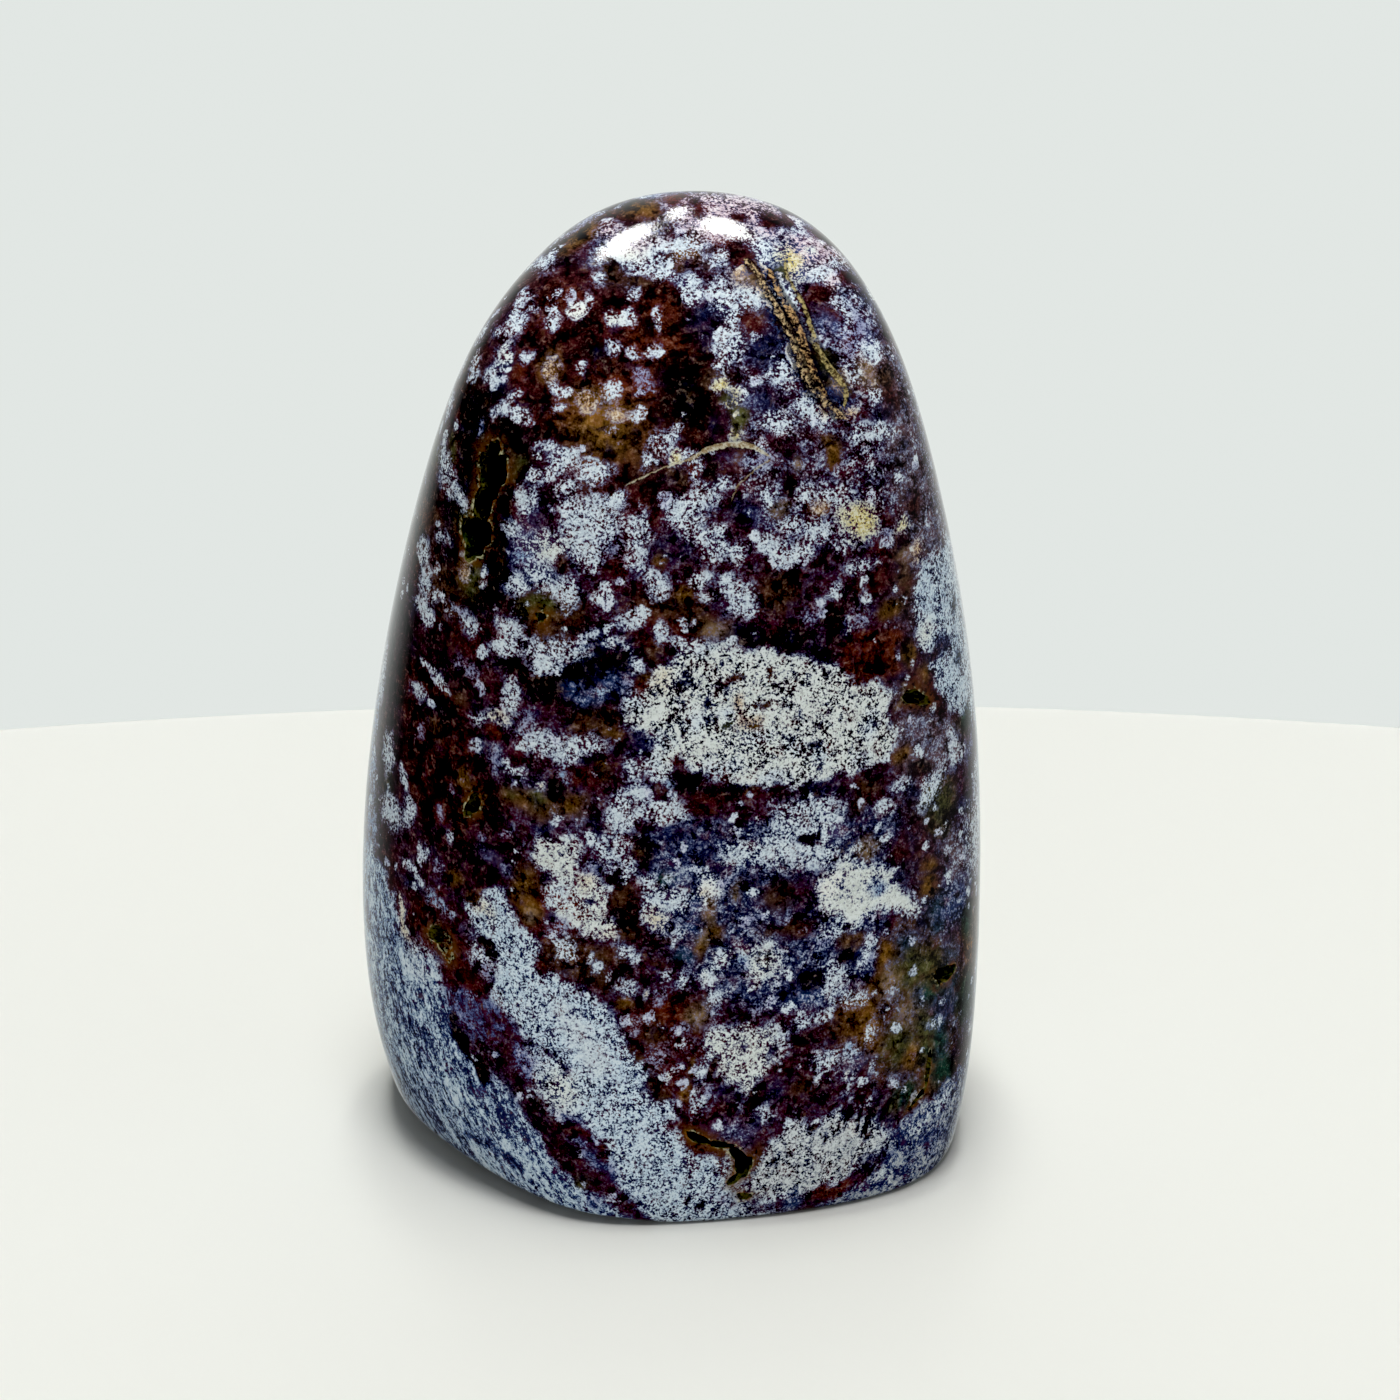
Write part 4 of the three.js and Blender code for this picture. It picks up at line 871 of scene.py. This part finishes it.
def paintJasper(material):
    material.use_nodes = True
    tree = material.node_tree
    tree.nodes.clear()
    finish = jasperFinish

    def node(*given, **named): return addNode(tree, *given, **named)
    def attribute(name, output="Fac"): return node("ShaderNodeAttribute", {"attribute_name": name}, output=output)

    place = node("ShaderNodeTexCoord", output="Object")
    millimetres = node("ShaderNodeVectorMath", {"operation": "SCALE"}, {0: place, "Scale": 1000})

    def noiseNode(vector, size, detail, roughness=0.6, output="Fac"):
        values = {"Vector": vector, "Scale": 1 / size, "Detail": detail, "Roughness": roughness}
        return node("ShaderNodeTexNoise", None, values, output)

    # swings about 0, mostly between -1 and 1
    def swing(vector, size, detail=2, roughness=0.6):
        return (noiseNode(vector, size, detail, roughness) - 0.5) * 4

    wander = noiseNode(millimetres, finish["warpSize"], 4, 0.65, "Color")
    centred = node("ShaderNodeVectorMath", {"operation": "SUBTRACT"}, {0: wander, 1: (0.5, 0.5, 0.5)})
    shift = node("ShaderNodeVectorMath", {"operation": "SCALE"}, {0: centred, "Scale": finish["warpReach"] * 2})
    warped = node("ShaderNodeVectorMath", {"operation": "ADD"}, {0: millimetres, 1: shift})

    cluster = swing(warped, finish["clusterSize"], 5, 0.65)
    medium = swing(warped, finish["mediumSize"], 3)
    small = swing(millimetres, finish["grainSize"], 2)
    fine = swing(millimetres, finish["fineSize"], 1)

    # streaks run down to the right
    turned = node("ShaderNodeMapping", {"vector_type": "POINT"},
                  {"Vector": warped, "Rotation": (0, math.radians(finish["streakLean"]), 0)})
    drawn = node("ShaderNodeVectorMath", {"operation": "MULTIPLY"},
                 {0: turned, 1: (1 / finish["streakLength"], 1, 1)})
    streaks = swing(drawn, finish["streakWidth"], 3)

    bloomLevel = attribute("bloom")
    calm = attribute("calm")
    streakLevel = attribute("streak")

    # round puffs scattered through the ground, each of its own size, and about half of the places left empty
    cells = node("ShaderNodeTexVoronoi", None, {"Vector": warped, "Scale": 1 / finish["puffSpacing"]}, "Distance")
    draw = Wire(tree, cells.socket.node.outputs["Color"])
    sizeDraw, presentDraw, toneDraw = (node("ShaderNodeSeparateColor", None, {0: draw}, way)
                                       for way in ("Red", "Green", "Blue"))
    puffEdge = (sizeDraw * finish["puffSpread"] + finish["puffSmallest"] - cells) * finish["puffSpacing"]
    ordinary = bloomLevel.fade(-0.16, 0) * (1 - bloomLevel.fade(0.25, 0.4)) * (1 - streakLevel)
    puff = puffEdge.fade(-0.12, 0.3) * presentDraw.fade(0.5, 0.6) * ordinary
    bloomLevel = bloomLevel + puff * finish["puffShare"]

    # fine pale worms with dark gaps between them
    wriggle = swing(warped, finish["wormSize"], 2)
    worms = 0.3 - abs(wriggle)

    # how pale the stone is here: 0 is ground, 1 the whitest bloom
    broken = cluster * finish["clusterShare"] + medium * finish["mediumShare"] + worms * finish["wormShare"]
    gather = swing(warped, finish["gatherSize"], 3)   # where the specks gather, and where the stone is smooth
    grainy = (small * finish["grainShare"] + fine * finish["fineShare"]) * (gather.fade(-0.7, 0.7) * 1.1 + 0.5)
    grainy = grainy * (bloomLevel.fade(0.05, 0.4) * 0.5 + 0.6)
    broken = broken - gather * finish["gatherShare"]
    lanes = swing(drawn, finish["laneWidth"], 2)   # broad lanes of streaks, lighter and darker
    strands = streaks * finish["streakShare"] + lanes * finish["laneShare"]
    plain = (broken + grainy) * (1 - streakLevel * 0.45) + strands * streakLevel
    level = bloomLevel + plain * (bloomLevel.fade(-0.12, 0.4) * 0.88 + 0.17) * (1 - calm * 0.6)

    # the ground: its own colours, tinted redder or bluer here and there, and sinking to black
    tint = swing(warped, finish["tintSize"], 3)
    groundColour = attribute("ground", "Color")
    groundColour = mixColours(tree, tint.fade(0, 1) * 0.5, groundColour, (92, 30, 44))
    groundColour = mixColours(tree, (0 - tint).fade(0, 1) * 0.5, groundColour, (26, 38, 92))
    earth = swing(warped, finish["earthSize"], 4)
    groundColour = mixColours(tree, earth.fade(0.35, 1.1) * 0.5, groundColour, (122, 88, 52))
    sparkle = (small * 0.6 + fine * 0.3 + medium * 0.5).fade(0.1, 1.3)   # crisp lighter bits of the same colour
    groundColour = mixColours(tree, sparkle * 0.4, groundColour,
                              mixColours(tree, 1, groundColour, (206, 180, 160), "SCREEN"))
    sinking = cluster * 0.5 + medium * 0.5 + small * 0.2 + fine * 0.1 + bloomLevel * 1.1 + streakLevel * 0.3
    ground = mixColours(tree, sinking.fade(-0.45, 0.7), (6, 2, 5), groundColour)

    paleColour = attribute("pale", "Color")
    paleColour = mixColours(tree, puff * toneDraw.fade(0.2, 0.9) * 0.6, paleColour, (150, 150, 190))
    coolness = (tint * -0.8 + medium * 0.5 + streakLevel).fade(-0.9, 0.3)
    haze = mixColours(tree, coolness, finish["warmHaze"], finish["coolHaze"])
    haze = mixColours(tree, (1 - streakLevel) * 0.38, haze, mixColours(tree, 1, groundColour, (104, 96, 104), "SCREEN"))
    dimPale = mixColours(tree, 0.5, haze, paleColour)
    brightPale = mixColours(tree, 0.5, paleColour, (246, 252, 254))
    stoneColour = mixColours(tree, level.fade(0.08, 0.36), ground, haze)
    stoneColour = mixColours(tree, level.fade(0.22, 0.46), stoneColour, dimPale)
    stoneColour = mixColours(tree, level.fade(0.34, 0.66), stoneColour, paleColour)
    stoneColour = mixColours(tree, level.fade(0.62, 1.05), stoneColour, brightPale)

    # the veins, each with a dark edge
    crumble = streaks * 0.9 + small * 0.5 + fine * 0.4
    for name, vein in veins.items():
        wander = small * 0.1 + medium * (0.1 + vein["broken"] * 0.1)
        beside = abs(attribute(name + "Side") + wander)
        width = attribute(name + "Width") * (medium * 0.4 + 1)
        there = (width * 40).fade(0, 1)
        edge = (width * 3 - beside).fade(0, 0.35) * there * (0.4 + vein["broken"] * 0.4)
        stoneColour = mixColours(tree, edge, stoneColour, (10, 7, 12))
        whole = crumble.fade(-1.6 + vein["broken"] * 1.2, -0.4 + vein["broken"] * 0.9)
        veinLine = (width * 1.4 - beside).fade(0, 0.12) * whole * there
        veinColour = mixColours(tree, (medium * 0.7 + small + fine * 0.8).fade(-0.9, 0.9), vein["dark"], vein["light"])
        stoneColour = mixColours(tree, veinLine * vein["cover"], stoneColour, veinColour)

    # the crust round a pit, and the pit itself, with painted shade that darkens its walls the deeper they lie
    rimGap = attribute("pitGap") + medium * 0.3 + small * 0.15
    stain = (1 - rimGap.fade(0.2, 1.7)) * (medium + cluster).fade(-0.5, 0.6)
    stoneColour = mixColours(tree, stain * 0.8, stoneColour, (88, 52, 20))
    rim = (1 - rimGap.fade(0.02, 0.35)) * (cluster + small).fade(-0.5, 0.5)
    rimColour = mixColours(tree, (medium + small).fade(-0.8, 0.4), (60, 62, 26), (150, 92, 36))
    rimColour = mixColours(tree, (small * 1.3 - medium).fade(0, 0.9), rimColour, (196, 196, 156))
    stoneColour = mixColours(tree, rim * 0.85, stoneColour, rimColour)
    depth = attribute("pitDepth")
    inPit = depth.fade(0.02, 0.1)
    wallColour = mixColours(tree, (small * 0.6 + medium * 0.6).fade(-0.2, 0.8), (16, 15, 9), (150, 138, 66))
    wallColour = mixColours(tree, (cluster * 0.5 + small * 0.4).fade(-0.2, 0.7), wallColour, (50, 70, 34))
    # painted shade: the pit walls sink towards black the deeper they lie, as the unlit inside of a hollow
    wallColour = mixColours(tree, depth.fade(0.5, 3.2), wallColour, (10, 11, 7))
    stoneColour = mixColours(tree, inPit, stoneColour, wallColour)

    bumpHeight = small * 0.12 + medium * 0.12 + inPit * small * 5
    bump = node("ShaderNodeBump", None, {"Strength": 1, "Distance": 0.00002, "Height": bumpHeight})
    shader = tree.nodes.new("ShaderNodeBsdfPrincipled")
    tree.links.new(stoneColour.socket, shader.inputs["Base Color"])
    roughness = inPit * 0.5 + (small * 0.015 + finish["gloss"])
    tree.links.new(roughness.socket, shader.inputs["Roughness"])
    tree.links.new(bump.socket, shader.inputs["Normal"])
    shader.inputs["IOR"].default_value = 1.54
    shader.inputs["Specular IOR Level"].default_value = finish["specular"]
    output = tree.nodes.new("ShaderNodeOutputMaterial")
    tree.links.new(shader.outputs[0], output.inputs["Surface"])


# Making the stone

def storeNumbers(mesh, name, values):
    layer = mesh.attributes.new(name, "FLOAT", "POINT")
    layer.data.foreach_set("value", np.asarray(values, np.float32))


def storeColours(mesh, name, colours):
    layer = mesh.attributes.new(name, "FLOAT_COLOR", "POINT")
    layer.data.foreach_set("color", np.c_[colours, np.ones(len(colours))].astype(np.float32).ravel())


# how far each vertex is to one side of a vein, and the vein's half width beside it, 0 past its ends
def veinBeside(points, front, vein):
    x, z = points[:, 0], points[:, 2]
    distance, along = lineDistance(x, z, vein["line"])
    narrow, wide = vein["halfWidths"]
    width = narrow + (wide - narrow) * smoothStep(*vein["widening"], along) * smoothStep(1, 0.8, along)
    near = smoothStep(2.5, 1.2, distance) * front * smoothStep(0, 0.03, along) * smoothStep(1, 0.97, along)
    return np.clip(sideDistance(x, z, vein["line"]), -3, 3), width * near


def makeStone():
    points, quads = stoneGrid()
    mesh = bpy.data.meshes.new("oceanJasper")
    mesh.from_pydata(points.tolist(), [], quads.tolist())
    stone = bpy.data.objects.new("oceanJasper", mesh)
    bpy.context.scene.collection.objects.link(stone)
    print("stone blown up:", len(points), "points")
    cutPits(stone)
    mesh = stone.data
    print("pits cut:", len(mesh.polygons), "faces")

    count = len(mesh.vertices)
    points = np.zeros(count * 3, np.float32)
    mesh.vertices.foreach_get("co", points)
    points = points.reshape(-1, 3).astype(float)
    offset = points - heart
    distance = np.linalg.norm(offset, axis=1)
    sunk = stoneReach(offset / distance[:, None]) - distance
    polish = polishNormals(points)

    markings = layMarkings(points, polish)
    print("markings laid")
    gap = pitDistance(points)
    storeColours(mesh, "ground", markings.ground)
    storeColours(mesh, "pale", markings.pale)
    storeNumbers(mesh, "bloom", markings.bloom)
    storeNumbers(mesh, "calm", markings.calm)
    storeNumbers(mesh, "streak", markings.streak)
    storeNumbers(mesh, "pitGap", gap)
    storeNumbers(mesh, "pitDepth", np.maximum(0, sunk))
    for name, vein in veins.items():
        side, width = veinBeside(points, markings.front, vein)
        storeNumbers(mesh, name + "Side", side)
        storeNumbers(mesh, name + "Width", width)

    # clean normals: the polished skin takes them from its own curve, the pits from their walls
    corners = np.zeros(len(mesh.loops), np.int32)
    mesh.loops.foreach_get("vertex_index", corners)
    starts = np.zeros(len(mesh.polygons), np.int32)
    mesh.polygons.foreach_get("loop_start", starts)
    sizes = np.zeros(len(mesh.polygons), np.int32)
    mesh.polygons.foreach_get("loop_total", sizes)
    faceOfCorner = np.repeat(np.arange(len(sizes)), sizes)
    faceNormal = np.zeros(len(sizes) * 3, np.float32)
    mesh.polygons.foreach_get("normal", faceNormal)
    faceNormal = faceNormal.reshape(-1, 3).astype(float)
    inWall = np.maximum.reduceat(sunk[corners], starts) > 0.012
    wall = np.zeros((count, 3))
    wallCorners = inWall[faceOfCorner]
    np.add.at(wall, corners[wallCorners], faceNormal[faceOfCorner[wallCorners]])
    cornerNormals = polish[corners]
    cornerNormals[wallCorners] = unit(wall[corners[wallCorners]] + 1e-9)
    mesh.polygons.foreach_set("use_smooth", np.ones(len(sizes), bool))
    mesh.normals_split_custom_set(cornerNormals.tolist())

    # fitted to the solid that it stands for, which has flat facets, by a hair
    low, high = (np.array(corner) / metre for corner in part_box("stone"))
    ownLow, ownHigh = points.min(0), points.max(0)
    scale = (high - low) / (ownHigh - ownLow)
    fitted = (low + (points - ownLow) * scale) * metre
    mesh.vertices.foreach_set("co", fitted.astype(np.float32).ravel())
    mesh.update()
    print("fitted by", np.round(scale, 4))

    material = bpy.data.materials.new("polishedOceanJasper")
    paintJasper(material)
    mesh.materials.clear()
    mesh.materials.append(material)
    return stone


stone = makeStone()
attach(stone, "root")
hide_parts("stone")
print("stone finished")

# Floor, light and camera

studio = {
    "tableRadius": 0.54, "tableBackEdge": 0.152,   # a round table top, whose far edge shows behind the stone
    "tableColour": (214, 214, 210),
    "wallColour": (226, 231, 228), "dimColour": (96, 97, 95),   # the pale walls, and the dim rest of the room
    "floorColour": (58, 58, 57),
    "blackLevel": 0.008,
    "cameraAim": (0.0038, 0.00105, 0.0555), "cameraRise": 20, "cameraDistance": 0.43, "cameraLens": 90.9,
    # soft overhead lights: direction to each as x and y, half widths across and deep, brightness
    "glows": [
        ((-0.115, 0.04), (0.06, 0.17), 230),
        ((0.085, 0.1), (0.044, 0.14), 300),
        ((-0.025, 0.33), (0.018, 0.16), 220),
    ],
    # broad lights: direction to each, strength, and how many degrees wide
    "lamps": {"key": ((0.04, -0.27, 0.96), 1.68, 20), "right": ((0.8, -0.25, 0.55), 0.12, 50), "front": ((-0.1, -0.95, 0.3), 0.4, 50)},
}


def makeTable():
    blank = bmesh.new()
    bmesh.ops.create_circle(blank, cap_ends=True, segments=256, radius=studio["tableRadius"])
    mesh = bpy.data.meshes.new("tableTop")
    blank.to_mesh(mesh)
    blank.free()
    table = bpy.data.objects.new("tableTop", mesh)
    table.location = (0.006, studio["tableBackEdge"] - studio["tableRadius"], 0)
    table.visible_glossy = False   # kept out of the polish, as a photographer's filter would
    bpy.context.scene.collection.objects.link(table)
    material = bpy.data.materials.new("paleTable")
    material.use_nodes = True
    shader = material.node_tree.nodes["Principled BSDF"]
    shader.inputs["Base Color"].default_value = (*srgbToLinear(studio["tableColour"]), 1)
    shader.inputs["Roughness"].default_value = 0.6
    shader.inputs["Specular IOR Level"].default_value = 0.2
    mesh.materials.append(material)


def makeLights():
    world = bpy.data.worlds.new("paleRoom")
    world.use_nodes = True
    tree = world.node_tree
    direction = addNode(tree, "ShaderNodeTexCoord", output="Generated")
    across, deep, height = (addNode(tree, "ShaderNodeSeparateXYZ", None, {0: direction}, axis) for axis in "XYZ")
    walls = deep.fade(0.35, 0.9).most(across.fade(0.75, 1) * 0.2) * (1 - height.fade(0.75, 1))
    walls = walls * height.fade(-0.6, -0.36)
    room = mixColours(tree, height.fade(0, 0.3), studio["floorColour"], studio["dimColour"])
    room = mixColours(tree, walls, room, studio["wallColour"])
    glow = 1
    for (x, y), (halfAcross, halfDeep), brightness in studio["glows"]:
        away = ((across - x) / halfAcross) ** 2 + ((deep - y) / halfDeep) ** 2
        glow = (1 - away.fade(0.3, 1.6)) * height.fade(-0.05, 0.15) * brightness + glow
    tree.links.new(room.socket, tree.nodes["Background"].inputs["Color"])
    tree.links.new(glow.socket, tree.nodes["Background"].inputs["Strength"])
    bpy.context.scene.world = world
    for name, (toLamp, strength, wide) in studio["lamps"].items():
        light = bpy.data.lights.new(name, "SUN")
        light.energy = strength
        light.angle = math.radians(wide)
        lamp = bpy.data.objects.new(name, light)
        lamp.rotation_euler = Vector(toLamp).to_track_quat("Z", "Y").to_euler()
        lamp.visible_glossy = False   # too broad to show as a spot in the polish
        bpy.context.scene.collection.objects.link(lamp)


def makeCamera():
    aim = Vector(studio["cameraAim"])
    rise = math.radians(studio["cameraRise"])
    lens = bpy.data.cameras.new("camera")
    lens.lens = studio["cameraLens"]
    lens.sensor_width = 36
    lens.clip_start = 0.01
    camera = bpy.data.objects.new("camera", lens)
    camera.location = aim + Vector((0, -math.cos(rise), math.sin(rise))) * studio["cameraDistance"]
    camera.rotation_euler = (aim - camera.location).to_track_quat("-Z", "Y").to_euler()
    bpy.context.scene.collection.objects.link(camera)
    bpy.context.scene.camera = camera


makeTable()
makeLights()
makeCamera()

# a plain view with its blacks set a little firmer, as a camera would
view = bpy.context.scene.view_settings
view.view_transform = "Standard"
view.use_curve_mapping = True
view.curve_mapping.black_level = (studio["blackLevel"],) * 3
view.curve_mapping.update()

print("scene finished")
